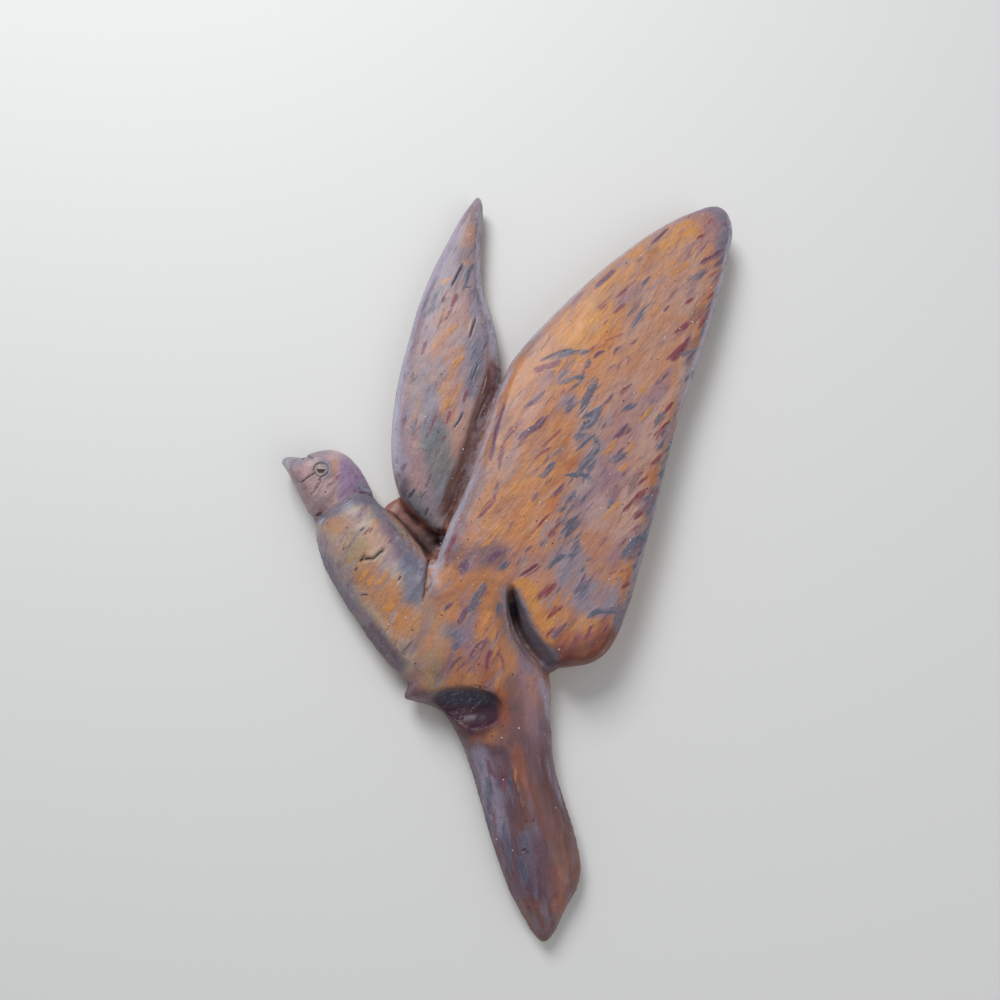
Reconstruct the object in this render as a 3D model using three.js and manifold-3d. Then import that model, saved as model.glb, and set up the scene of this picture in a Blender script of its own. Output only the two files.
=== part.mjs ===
// A flat wooden bird, carved by hand in relief from one piece of wood: head to the left,
// two raised wings, tail down. Millimetres.
// The back lies on z = 0. +Y runs from the tail tip to the wing tips, +X from the beak to the
// tip of the big wing, and the finished bird's origin is under the middle of its outline.

import * as THREE from 'three';
import { ParametricGeometry } from 'three/addons/geometries/ParametricGeometry.js';
import { mergeVertices } from 'three/addons/utils/BufferGeometryUtils.js';
import Module from 'manifold-3d';

const wasm = await Module();
wasm.setup();

// Sizes of the whole carving.
const BOARD_THICKNESS = 10.5;
const BACK_HEIGHT = 0;
const OUTLINE_REACH = 80;
const WELD_DISTANCE = 1e-4;

// Sampling of a limb's surface.
const TOP_FACETS = 12;
const UNDERSIDE_FACETS = 6;
const ROWS_PER_RIB = 2;
const WIDEST_CUT_SHARE = 0.6;
const CHANNEL_TOP = BOARD_THICKNESS + 1;

// Every limb is carved between two edges that meet at its ends. A rib is [point on one edge,
// point on the other edge, height of the edges, height of the crest between them], and ribs
// follow each other from one end of the limb to the other. The other lists hold values at even
// steps along the limb: foot is the height of its underside, leftCut and rightCut the width of
// the rounded cut along each edge, cutShare the part of the rise that this cut makes, ridge the
// place of the crest from -1 to 1 across the limb, and crown the power of the surface between
// crest and edge, 2 for a round back and 1 for a roof.

// From the tip of the beak over the head, the breast and the back to the tip of the tail.
const BODY = {
  ribs: [
    [[-35.0, 11.35], [-34.9, 11.6], 3.6, 4.2],
    [[-34.2, 10.3], [-34.0, 12.1], 3.8, 5.8],
    [[-33.4, 9.0], [-32.6, 12.15], 3.9, 6.9],
    [[-32.8, 7.9], [-31.2, 12.0], 4.0, 7.6],
    [[-32.3, 6.9], [-29.6, 12.9], 4.0, 8.2],
    [[-31.8, 5.9], [-27.4, 13.3], 4.0, 8.5],
    [[-31.3, 5.0], [-25.2, 12.5], 4.0, 8.4],
    [[-30.8, 4.2], [-23.5, 10.9], 4.0, 8.2],
    [[-30.4, 3.4], [-22.3, 9.1], 3.9, 7.9],
    [[-29.9, 2.5], [-21.3, 7.3], 3.8, 7.7],
    [[-29.5, 1.5], [-20.2, 5.4], 3.7, 7.8],
    [[-29.3, 0.3], [-18.6, 4.1], 3.6, 8.0],
    [[-28.9, -1.6], [-16.6, 2.2], 3.6, 8.3],
    [[-28.0, -4.2], [-14.5, -0.3], 3.6, 8.6],
    [[-26.4, -7.0], [-12.0, -2.8], 3.6, 8.9],
    [[-24.2, -10.4], [-8.4, -4.8], 3.6, 9.2],
    [[-21.6, -14.0], [-2.6, -6.4], 3.8, 9.4],
    [[-19.6, -16.6], [1.2, -8.4], 4.2, 9.6],
    [[-17.6, -18.8], [2.2, -11.0], 4.2, 9.6],
    [[-15.9, -20.4], [2.6, -13.0], 3.9, 9.5],
    [[-15.3, -21.5], [3.0, -14.8], 3.6, 9.3],
    [[-15.9, -23.1], [3.6, -16.5], 3.2, 9.0],
    [[-12.8, -23.9], [4.3, -18.2], 3.4, 8.7],
    [[-10.3, -25.0], [5.0, -20.4], 3.5, 8.1],
    [[-8.9, -26.9], [5.1, -23.4], 3.3, 7.4],
    [[-7.8, -28.9], [5.1, -27.0], 3.2, 7.0],
    [[-6.8, -31.4], [5.4, -31.2], 3.1, 6.8],
    [[-5.8, -34.3], [6.1, -34.6], 3.0, 6.6],
    [[-4.7, -38.0], [7.3, -38.3], 2.9, 6.4],
    [[-3.5, -42.0], [8.5, -42.3], 2.8, 6.1],
    [[-2.1, -45.9], [9.1, -45.9], 2.7, 5.7],
    [[-0.7, -49.2], [8.3, -48.7], 2.5, 5.1],
    [[0.8, -51.9], [6.8, -51.1], 2.3, 4.4],
    [[2.3, -54.2], [5.5, -53.8], 2.1, 3.5],
    [[3.5, -55.5], [4.2, -55.4], 2.0, 2.6],
  ],
  foot: [1.4, 0.0, -0.8, -0.8, -0.8, -0.8, -0.8, -0.6, 0.8],
  leftCut: [1.2, 2.4, 3.2, 3.4, 3.4, 3.0, 1.8, 1.8, 1.4],
  rightCut: [1.2, 2.2, 2.4, 3.0, 5.0, 1.8, 2.0, 2.2, 1.4],
  cutShare: [0.55, 0.55, 0.6, 0.6, 0.6, 0.5, 0.45, 0.45],
  ridge: [0, 0, 0.1, 0.1, 0.2, 0.1, -0.1, -0.1],
  crown: [2, 2, 2, 2, 2, 1.7, 1.5, 1.5],
};

// The root of the big wing, where it runs into the back.
const SHOULDER = {
  ribs: [
    [[-4.0, 9.0], [-2.0, 8.4], 6.0, 8.6],
    [[-7.0, 6.4], [3.4, 3.2], 6.3, 9.8],
    [[-9.4, 1.6], [4.6, -1.8], 6.3, 10.2],
    [[-11.1, -3.0], [3.2, -6.4], 6.3, 10.2],
    [[-12.1, -7.0], [-0.7, -9.4], 6.3, 10.0],
    [[-12.2, -10.8], [-0.7, -11.8], 5.6, 9.6],
    [[-10.4, -14.4], [-0.6, -14.0], 4.2, 8.8],
    [[-7.0, -16.6], [-0.8, -16.0], 3.4, 7.0],
    [[-4.6, -17.4], [-3.0, -17.2], 3.2, 4.4],
  ],
  foot: [-0.8, -0.8],
  leftCut: [1.7, 1.7, 1.8, 2.4, 3.0],
  rightCut: [1.7, 1.7, 1.8, 1.8, 1.8],
  cutShare: [0.5, 0.5],
  ridge: [0.1, 0.1],
  crown: [2, 2],
};

// The big wing, down to the round lobe that hangs free beside the back.
const NEAR_WING = {
  ribs: [
    [[32.0, 52.95], [32.9, 52.7], 4.6, 5.2],
    [[29.6, 52.5], [34.2, 51.3], 4.8, 6.4],
    [[26.0, 50.9], [34.5, 48.2], 5.0, 7.3],
    [[21.8, 48.4], [33.7, 44.6], 5.1, 7.9],
    [[17.4, 45.0], [32.5, 40.2], 5.3, 8.4],
    [[12.8, 41.1], [31.0, 35.2], 5.4, 8.9],
    [[8.3, 36.7], [29.0, 29.4], 5.6, 9.3],
    [[4.5, 32.6], [26.6, 23.4], 5.7, 9.6],
    [[1.2, 28.8], [24.6, 17.8], 5.9, 9.9],
    [[-1.4, 24.8], [23.1, 12.9], 6.0, 10.1],
    [[-3.2, 19.6], [21.8, 8.4], 6.1, 10.3],
    [[-4.7, 14.6], [20.6, 4.0], 6.2, 10.4],
    [[-6.5, 9.0], [19.3, -0.2], 6.3, 10.5],
    [[-8.5, 4.0], [18.1, -4.2], 6.3, 10.5],
    [[-10.3, -0.6], [16.9, -8.1], 6.3, 10.5],
    [[-9.6, -4.8], [15.8, -11.2], 6.2, 10.4],
    [[-7.4, -8.8], [14.8, -13.7], 6.0, 10.2],
    [[-4.8, -12.2], [13.6, -15.9], 5.8, 9.9],
    [[-2.0, -14.8], [12.2, -17.4], 5.6, 9.6],
    [[1.0, -17.0], [10.4, -18.3], 5.3, 9.0],
    [[3.8, -18.3], [8.2, -18.7], 5.0, 7.6],
    [[5.8, -18.8], [6.4, -18.9], 4.6, 5.4],
  ],
  foot: [2.2, 1.0, 0.0, -0.6, -0.8, -0.8, -0.8, -0.2],
  leftCut: [1.6, 1.8, 1.8, 1.7, 1.7, 1.8, 1.6],
  rightCut: [1.2, 1.3, 1.3, 1.3, 1.3, 1.5, 1.8],
  cutShare: [0.55, 0.55],
  ridge: [-0.15, -0.15],
  crown: [2, 2],
};

// The slim wing behind, on a lower plane.
const FAR_WING = {
  ribs: [
    [[-5.9, 55.85], [-5.3, 55.7], 3.0, 3.6],
    [[-6.8, 54.5], [-4.9, 54.2], 3.1, 4.2],
    [[-8.6, 51.7], [-4.9, 51.2], 3.2, 4.9],
    [[-10.4, 48.0], [-5.1, 47.2], 3.2, 5.3],
    [[-12.1, 44.4], [-5.1, 43.0], 3.2, 5.6],
    [[-13.6, 40.7], [-4.8, 39.8], 3.2, 5.9],
    [[-14.9, 36.8], [-3.8, 36.4], 3.2, 6.1],
    [[-16.1, 32.3], [-2.8, 32.6], 3.2, 6.2],
    [[-17.3, 27.0], [-2.3, 28.4], 3.2, 6.3],
    [[-18.2, 22.0], [-1.7, 23.4], 3.1, 6.3],
    [[-18.7, 17.0], [-2.4, 18.6], 3.0, 6.3],
    [[-18.6, 12.2], [-3.6, 13.8], 3.0, 6.3],
    [[-17.9, 8.4], [-5.4, 9.2], 3.0, 6.2],
    [[-16.7, 5.3], [-7.2, 5.0], 3.1, 6.0],
    [[-14.4, 2.9], [-8.8, 2.0], 3.2, 5.7],
    [[-11.4, 0.3], [-10.2, 0.2], 3.2, 5.0],
  ],
  foot: [1.4, 0.6, 0.0, -0.5, -0.8, -0.8, -0.8, -0.8],
  leftCut: [1.0, 1.4, 1.5, 1.5, 1.3],
  rightCut: [0.8, 1.2, 2.2, 2.8, 2.4],
  cutShare: [0.7, 0.7],
  ridge: [0, 0],
  crown: [2, 2],
};

// The hollow between the back and the wings.
const WEB = {
  ribs: [
    [[-19.8, 5.0], [-18.0, 6.5], 1.5, 1.8],
    [[-21.6, 1.8], [-14.4, 7.2], 1.5, 2.3],
    [[-20.0, -2.4], [-9.4, 5.2], 1.5, 2.6],
    [[-16.2, -6.4], [-5.8, 1.2], 1.6, 2.8],
    [[-12.0, -9.5], [-5.0, -6.0], 1.8, 2.8],
  ],
  foot: [0.2, -0.8, -0.8],
  leftCut: [1.5, 1.5],
  rightCut: [1.5, 1.5],
  cutShare: [0.7, 0.7],
  ridge: [0, 0],
  crown: [2, 2],
};

// The floor of the slot between the back and the lobe of the big wing.
const SLOT_FLOOR = {
  ribs: [
    [[-1.6, -6.0], [0.6, -5.4], 1.6, 2.6],
    [[-3.0, -9.0], [3.6, -8.0], 1.8, 3.0],
    [[-2.4, -13.0], [5.0, -12.0], 2.2, 3.6],
    [[0.0, -16.6], [7.0, -15.2], 2.6, 4.2],
    [[2.8, -19.2], [8.0, -17.2], 2.6, 4.2],
    [[4.8, -19.8], [5.8, -19.2], 2.6, 3.4],
  ],
  foot: [-0.8, -0.8],
  leftCut: [1.4, 1.4],
  rightCut: [1.4, 1.4],
  cutShare: [0.7, 0.7],
  ridge: [0, 0],
  crown: [2, 2],
};

// The cuts. A channel is cut from above along its points, which are [x, y, half its width,
// height of its floor].
const NECK_CREASE = [
  [-30.2, 2.0, 0.4, 3.0],
  [-28.5, 2.9, 0.8, 4.6],
  [-26.2, 4.3, 0.8, 6.7],
  [-24.4, 5.2, 0.8, 6.9],
  [-22.8, 6.2, 0.8, 5.6],
  [-21.3, 6.1, 0.8, 4.4],
  [-19.8, 5.4, 0.4, 3.0],
];

// The slot between the back and the lobe of the big wing: a wide shallow cut, and a narrow
// deep one along its middle.
const SLOT_FLARE = [
  [-1.0, -6.8, 0.2, 10.2],
  [-0.6, -8.8, 1.0, 8.9],
  [-0.1, -11.4, 1.5, 7.9],
  [0.8, -14.2, 1.9, 7.2],
  [2.2, -16.4, 2.0, 6.6],
  [3.9, -18.2, 1.9, 6.0],
  [6.4, -21.0, 1.0, 5.4],
];

const SLOT_DEPTH = [
  [-0.9, -7.4, 0.2, 9.2],
  [-0.6, -8.8, 0.5, 5.4],
  [-0.2, -11.0, 0.8, 3.0],
  [0.6, -13.8, 0.7, 3.4],
  [1.9, -16.0, 0.7, 3.8],
  [3.4, -17.8, 0.7, 4.0],
  [5.8, -20.6, 0.6, 3.6],
];

const BELLY_SCOOP = {
  centre: [-7.6, -24.7, 8.2],
  radii: [6.2, 3.2, 3.8],
  turn: 0.06,
  sides: 20,
};

const WEB_PIT = {
  centre: [-11.3, -0.6, 3.4],
  radii: [0.7, 0.8, 1.8],
  turn: 0,
  sides: 8,
};

const WOOD_COLOUR = 0xb87f55;
const WOOD_ROUGHNESS = 0.38;

// Closes a shape's seams, drops the triangles that its poles leave without area, and turns
// every face outwards.
function solid(geometry) {
  geometry.deleteAttribute('normal');
  geometry.deleteAttribute('uv');
  const welded = mergeVertices(geometry, WELD_DISTANCE);
  const place = welded.getAttribute('position');
  const index = welded.getIndex().array;
  const corners = [0, 1, 2].map(() => new THREE.Vector3());
  const kept = [];
  let volume = 0;
  for (let i = 0; i < index.length; i += 3) {
    const [a, b, c] = index.slice(i, i + 3);
    if (a === b || b === c || c === a) continue;
    kept.push(a, b, c);
    [a, b, c].forEach((vertex, corner) => corners[corner].fromBufferAttribute(place, vertex));
    volume += corners[0].dot(corners[1].cross(corners[2]));
  }
  if (volume < 0) kept.reverse();
  return new wasm.Manifold(new wasm.Mesh({
    numProp: 3,
    vertProperties: new Float32Array(place.array),
    triVerts: new Uint32Array(kept),
  }));
}

// A value that runs smoothly through the given ones at even steps, for a share from 0 to 1.
function alongLimb(values) {
  const curve = new THREE.SplineCurve(values.map((value, step) => new THREE.Vector2(step, value)));
  return (share) => curve.getPoint(share).y;
}

// A smooth line through the given points, for a share from 0 to 1.
function edgeLine(points) {
  const curve = new THREE.SplineCurve(points.map((point) => new THREE.Vector2(...point)));
  return (share) => curve.getPoint(share);
}

// The rise of a rounded cut, from 0 at the edge to 1 where the cut ends.
function roundedCut(distance, width) {
  return Math.sin(Math.PI / 2 * Math.min(1, distance / width));
}

// One limb of the bird: a long form between two edges, crowned above and flat below.
function limb({ ribs, foot, leftCut, rightCut, cutShare, ridge, crown }) {
  const leftEdge = edgeLine(ribs.map((rib) => rib[0]));
  const rightEdge = edgeLine(ribs.map((rib) => rib[1]));
  const rimHeight = alongLimb(ribs.map((rib) => rib[2]));
  const crestHeight = alongLimb(ribs.map((rib) => rib[3]));
  const profile = { foot, leftCut, rightCut, cutShare, ridge, crown };
  const curves = Object.entries(profile).map(([name, values]) => [name, alongLimb(values)]);
  const facets = TOP_FACETS + UNDERSIDE_FACETS;
  const topShare = TOP_FACETS / facets;

  const surface = (around, along, target) => {
    const left = leftEdge(along);
    const right = rightEdge(along);
    const middle = left.clone().add(right).multiplyScalar(0.5);
    const rim = rimHeight(along);
    if (along === 0 || along === 1) {
      target.set(middle.x, middle.y, rim);
      return;
    }
    const here = Object.fromEntries(curves.map(([name, curve]) => [name, curve(along)]));
    const half = left.distanceTo(right) / 2;
    const isTop = around <= topShare;
    const sweep = isTop ? around / topShare : (1 - around) / (1 - topShare);
    const across = -Math.cos(Math.PI * sweep);
    const widestCut = half * WIDEST_CUT_SHARE;
    const cut = Math.min(
      roundedCut(half * (1 + across), Math.min(here.leftCut, widestCut)),
      roundedCut(half * (1 - across), Math.min(here.rightCut, widestCut)),
    );
    let z = rim - (rim - here.foot) * cut;
    if (isTop) {
      const offRidge = across - here.ridge;
      const slope = Math.abs(offRidge / (1 - Math.sign(offRidge) * here.ridge));
      const rise = here.cutShare * cut + (1 - here.cutShare) * (1 - slope ** here.crown);
      z = rim + (crestHeight(along) - rim) * rise;
    }
    const reach = right.clone().sub(left).multiplyScalar(across / 2);
    target.set(middle.x + reach.x, middle.y + reach.y, z);
  };

  return solid(new ParametricGeometry(surface, facets, (ribs.length - 1) * ROWS_PER_RIB));
}

// A round-bottomed channel, open above.
function channel(points) {
  const line = new THREE.SplineCurve(points.map(([x, y]) => new THREE.Vector2(x, y)));
  const ribs = points.map(([x, y, halfWidth], step) => {
    const along = line.getTangent(step / (points.length - 1));
    const out = [-along.y * halfWidth, along.x * halfWidth];
    return [[x - out[0], y - out[1]], [x + out[0], y + out[1]], CHANNEL_TOP, CHANNEL_TOP];
  });
  return limb({
    ribs,
    foot: points.map((point) => point[3]),
    leftCut: [CHANNEL_TOP, CHANNEL_TOP],
    rightCut: [CHANNEL_TOP, CHANNEL_TOP],
    cutShare: [1, 1],
    ridge: [0, 0],
    crown: [2, 2],
  });
}

// A spoon-shaped cut.
function scoop({ centre, radii, turn, sides }) {
  const geometry = new THREE.SphereGeometry(1, sides, sides / 2);
  geometry.scale(...radii);
  geometry.rotateZ(turn);
  geometry.translate(...centre);
  return solid(geometry);
}

// The flat back: everything under it is planed away.
function planedAway() {
  const geometry = new THREE.BoxGeometry(2 * OUTLINE_REACH, 2 * OUTLINE_REACH, BOARD_THICKNESS);
  geometry.translate(0, 0, BACK_HEIGHT - BOARD_THICKNESS / 2);
  return solid(geometry);
}

function carvedBird() {
  const limbs = [BODY, SHOULDER, NEAR_WING, FAR_WING, WEB, SLOT_FLOOR].map(limb);
  const cuts = [
    channel(NECK_CREASE),
    channel(SLOT_FLARE),
    channel(SLOT_DEPTH),
    scoop(BELLY_SCOOP),
    scoop(WEB_PIT),
    planedAway(),
  ];
  const joined = limbs.reduce((whole, next) => whole.add(next));
  return cuts.reduce((whole, cut) => whole.subtract(cut), joined);
}

function toGeometry(manifold) {
  const { vertProperties, triVerts } = manifold.getMesh();
  const geometry = new THREE.BufferGeometry();
  geometry.setAttribute('position', new THREE.BufferAttribute(vertProperties, 3));
  geometry.setIndex(new THREE.BufferAttribute(triVerts, 1));
  geometry.computeVertexNormals();
  return geometry;
}

// Puts the origin under the middle of the outline.
function centred(geometry) {
  geometry.computeBoundingBox();
  const middle = geometry.boundingBox.getCenter(new THREE.Vector3());
  return geometry.translate(-middle.x, -middle.y, 0);
}

const wood = new THREE.MeshStandardMaterial({
  color: WOOD_COLOUR,
  roughness: WOOD_ROUGHNESS,
  metalness: 0,
});

const bird = new THREE.Mesh(centred(toGeometry(carvedBird())), wood);
bird.name = 'bird_carving';

const part = new THREE.Group();
part.add(bird);

export default part;
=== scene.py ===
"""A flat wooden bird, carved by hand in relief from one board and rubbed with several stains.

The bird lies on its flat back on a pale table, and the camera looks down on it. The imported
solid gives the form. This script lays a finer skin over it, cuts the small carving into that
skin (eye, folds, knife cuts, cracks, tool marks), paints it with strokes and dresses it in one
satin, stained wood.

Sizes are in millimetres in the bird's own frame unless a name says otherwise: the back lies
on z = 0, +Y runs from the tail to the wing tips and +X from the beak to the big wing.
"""

import logging
import math
from collections.abc import Callable, Sequence
from dataclasses import dataclass, field
from enum import Enum

import bmesh
import bpy
import numpy as np
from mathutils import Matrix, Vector, noise


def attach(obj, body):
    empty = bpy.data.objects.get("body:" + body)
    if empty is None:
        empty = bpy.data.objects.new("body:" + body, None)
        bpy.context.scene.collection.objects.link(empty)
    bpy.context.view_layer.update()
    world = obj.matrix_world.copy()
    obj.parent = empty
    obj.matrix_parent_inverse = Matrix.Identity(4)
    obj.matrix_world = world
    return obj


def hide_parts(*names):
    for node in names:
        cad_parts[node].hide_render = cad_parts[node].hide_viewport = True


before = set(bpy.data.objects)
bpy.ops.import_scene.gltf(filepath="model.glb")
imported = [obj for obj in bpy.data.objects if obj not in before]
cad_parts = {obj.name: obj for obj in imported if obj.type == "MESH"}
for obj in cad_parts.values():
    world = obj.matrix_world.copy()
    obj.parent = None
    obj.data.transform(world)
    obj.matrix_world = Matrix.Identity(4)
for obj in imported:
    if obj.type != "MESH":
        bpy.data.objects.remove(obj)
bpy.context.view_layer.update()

MM = 0.001
CAD_NODE = "bird_carving"
BODY = "root"

Point = tuple[float, float]
Path = Sequence[Point]

logging.basicConfig(level=logging.INFO, format="%(message)s")
log = logging.getLogger("bird")


def trail(*numbers: float) -> Path:
    """Pair up numbers, x and y in turn, as the corners of a path."""
    return tuple(zip(numbers[::2], numbers[1::2]))


# Borders that two areas share.
CREASE = trail(-1.6, 24.8, -3.5, 19.4, -5, 14.4, -6.8, 8.8, -8.9, 3.8)
WING_ROOT = trail(
    -12.6, -10, -8.5, -8.6, -4.5, -6.6, -0.9, -7.9, -0.3, -11.5, 0.5, -13.9, 1.7, -16, 3.1, -17.9,
    4.6, -20,
)
SLIM_ROOT = trail(-9.9, 1.2, -11.5, 0.6, -14.5, 3.4, -17.3, 6.6, -20.5, 10)
THROAT = trail(-32, 3.4, -29.4, 2.4, -27.1, 3.2, -25.1, 4.4, -22.7, 5.9, -21.3, 6.2)
SHOULDER = trail(-18.9, 3.9, -16.2, 1.4, -13.4, -1.9, -12.2, -4.4)


class Pigment(Enum):
    """A stain or paint on the wood, as the colour that it dries to, in sRGB from 0 to 255."""

    AMBER = (206, 140, 62)
    APRICOT = (196, 128, 80)
    ORANGE = (186, 126, 84)
    TAN = (178, 156, 138)
    GINGER = (168, 112, 78)
    ROSE = (184, 144, 130)
    HEATHER = (166, 138, 136)
    PEARL = (190, 160, 160)
    MAUVE = (146, 114, 126)
    BLUSH = (184, 154, 148)
    LILAC = (156, 128, 158)
    CRIMSON = (122, 50, 66)
    BERRY = (154, 96, 106)
    PURPLE = (92, 58, 88)
    PLUM = (92, 64, 80)
    INDIGO = (94, 86, 112)
    RUST = (160, 86, 50)
    SLATE = (112, 112, 128)
    SMOKE = (136, 130, 146)
    STONE = (106, 110, 114)
    STEEL = (82, 87, 106)
    LAVENDER = (170, 162, 184)
    OLIVE = (150, 132, 104)
    BROWN = (104, 70, 70)
    UMBER = (100, 62, 54)
    BARK = (72, 42, 34)
    CHARCOAL = (74, 74, 88)
    OXBLOOD = (106, 38, 24)
    DUSK = (102, 76, 88)
    # The blue-white of the palest rims, worn and painted as highlights.
    BONE = (192, 202, 216)
    # The white of the painted glints of the varnish.
    GLINT = (226, 230, 236)
    WALNUT = (118, 84, 64)
    SIENNA = (146, 92, 82)
    GRAPE = (66, 36, 54)
    # Near black: dark marks and pits, and the painted shade in hollows and cuts.
    SOOT = (30, 22, 24)

    def linear(self) -> tuple[float, float, float]:
        """The colour as linear light."""
        return tuple(((c / 255 + 0.055) / 1.055) ** 2.4 for c in self.value)


class Area(Enum):
    """A part of the bird as the painter sees it from above, as the outline that bounds it."""

    NEAR_WING = (
        *trail(36, 56, 31.6, 55, 25.6, 52.2, 17, 46.3, 7.8, 38, 0.4, 30, -2, 25.4),
        *CREASE,
        *trail(-10.7, -0.8, -12.3, -4.6),
        *WING_ROOT,
        *trail(14, -20, 22, 0, 30, 25, 36, 45),
    )
    FAR_WING = (
        *trail(-5, 58, -3.6, 51, -3.4, 42, -1.6, 33, -0.2, 28),
        *CREASE,
        *SLIM_ROOT,
        *trail(-20.5, 22, -18, 32, -12, 47, -7, 58),
    )
    HEAD = (*trail(-37, 14, -37, 8), *THROAT, *trail(-19.9, 5.7, -19.5, 16, -30, 16))
    NAPE = (
        *trail(-25.5, 13.4, -25.2, 8.3, -25.3, 4.3),
        *THROAT[-2:],
        *trail(-19.9, 5.7, -19.5, 13.4),
    )
    BREAST = (
        *THROAT,
        *trail(-19.8, 5.2),
        *SHOULDER,
        *trail(-12.6, -10, -13.2, -16, -13.6, -19.5, -19, -22, -33, -5),
    )
    HIP = (
        *WING_ROOT,
        *trail(8, -22, 8, -36, -10, -36, -12, -27.2, -18, -24, -17, -20.6),
        *trail(-13.6, -19.5, -13.2, -16),
    )
    TAIL = trail(
        9, -23.4, 3, -24.6, 1, -27, -0.8, -29.6, -5.6, -29, -12, -27.6, -12, -58, 12, -58
    )
    TAIL_SIDE = trail(
        -12, -27.4, -5.6, -29, -1.2, -29.8, 0.1, -34.7, 0.4, -39.8, -0.1, -47.4, 1.6, -54, -12, -58
    )
    WEB = (
        *trail(-21.4, 4.9),
        *SHOULDER,
        *trail(-10.7, -0.8, -8.9, 3.8),
        *SLIM_ROOT,
        *trail(-19.8, 6.6),
    )
    WHOLE = trail(-40, -60, 40, -60, 40, 60, -40, 60)


# The painter's drawings lie on level sheets, one over each area at about the height of the wood
# there, and are seen through to the wood from the eye's place over the bird.
SHEET_HEIGHTS = {
    Area.NEAR_WING: 8.5,
    Area.FAR_WING: 5.3,
    Area.HEAD: 7.0,
    Area.BREAST: 8.0,
    Area.HIP: 8.0,
    Area.TAIL: 6.0,
    Area.TAIL_SIDE: 5.0,
    Area.NAPE: 7.0,
    Area.WEB: 5.0,
}
EYE_PLACE = (-1.925, -20.8, 127.27)


@dataclass(frozen=True)
class Patch:
    """The wood round a path: how far the patch reaches, how strong it is and where it stays."""

    path: Path
    reach: float
    strength: float
    area: Area = Area.WHOLE

    def cover(self, points: np.ndarray, full: float = 0.6, end: float = 1.5) -> np.ndarray:
        """How strongly the patch covers each place.

        Args:
            points: N by 2 array of places.
            full: Share of the reach up to which the patch is at full strength.
            end: Share of the reach at which it has faded out.

        Returns:
            A number for each place.
        """
        away, _ = path_distance(points, self.path)
        return self.strength * (1 - smooth_step(away, full * self.reach, end * self.reach))


@dataclass(frozen=True)
class Wash:
    """A broad soft patch of one stain."""

    pigment: Pigment
    patch: Patch


@dataclass(frozen=True)
class Flurry:
    """Many thin strokes of one paint, laid at random within spread of a band.

    They lean by about lean degrees from +X, and are at most longest long and widest wide.
    """

    pigment: Pigment
    band: Path
    spread: float
    count: int
    area: Area = Area.NEAR_WING
    lean: float = 50.0
    longest: float = 4.0
    widest: float = 0.8


@dataclass(frozen=True)
class KnifeCut:
    """A narrow cut or crack: its path, its width, its depth and the lip raised beside it."""

    path: Path
    width: float
    depth: float
    lip: float
    area: Area


def patches(area: Area, *rows: Sequence[float]) -> tuple[Patch, ...]:
    """Set out the patches of one area.

    Args:
        area: The area that they stay in.
        rows: For each patch a reach, a strength and its path's numbers.

    Returns:
        The patches.
    """
    return tuple(
        Patch(trail(*numbers), reach, strength, area) for reach, strength, *numbers in rows
    )


def washes(area: Area, *rows: Sequence[Pigment | float]) -> tuple[Wash, ...]:
    """Set out the washes of one area.

    Args:
        area: The area that they stay in.
        rows: For each wash a pigment, a reach, a strength and its path's numbers.

    Returns:
        The washes.
    """
    return tuple(Wash(pigment, *patches(area, row)) for pigment, *row in rows)


def cuts(area: Area, *rows: Sequence[float]) -> tuple[KnifeCut, ...]:
    """Set out the knife cuts of one area.

    Args:
        area: The area that they are seen in.
        rows: For each cut a width, a depth, a lip and its path's numbers.

    Returns:
        The cuts.
    """
    return tuple(
        KnifeCut(trail(*numbers), width, depth, lip, area) for width, depth, lip, *numbers in rows
    )


# Each area's first coat: its colour, how much amber shows in it and how mottled it is.
FIRST_COATS = {
    Area.NEAR_WING: (Pigment.ORANGE, 0.85, 1.0),
    Area.FAR_WING: (Pigment.HEATHER, 0.3, 0.85),
    Area.HEAD: (Pigment.PEARL, 0.08, 0.7),
    Area.NAPE: (Pigment.LILAC, 0.0, 0.3),
    Area.BREAST: (Pigment.TAN, 0.45, 0.8),
    Area.HIP: (Pigment.GINGER, 0.7, 1.0),
    Area.TAIL: (Pigment.BROWN, 0.2, 0.7),
    Area.TAIL_SIDE: (Pigment.DUSK, 0.05, 0.7),
    Area.WEB: (Pigment.SIENNA, 0.0, 0.1),
}

# Stains that leave the wood's warmth showing, and stains that hide its mottling.
WARM_STAINS = (Pigment.AMBER, Pigment.APRICOT, Pigment.ORANGE, Pigment.GINGER)
DEEP_STAINS = (Pigment.OXBLOOD, Pigment.CHARCOAL, Pigment.GRAPE, Pigment.PLUM)

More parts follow.
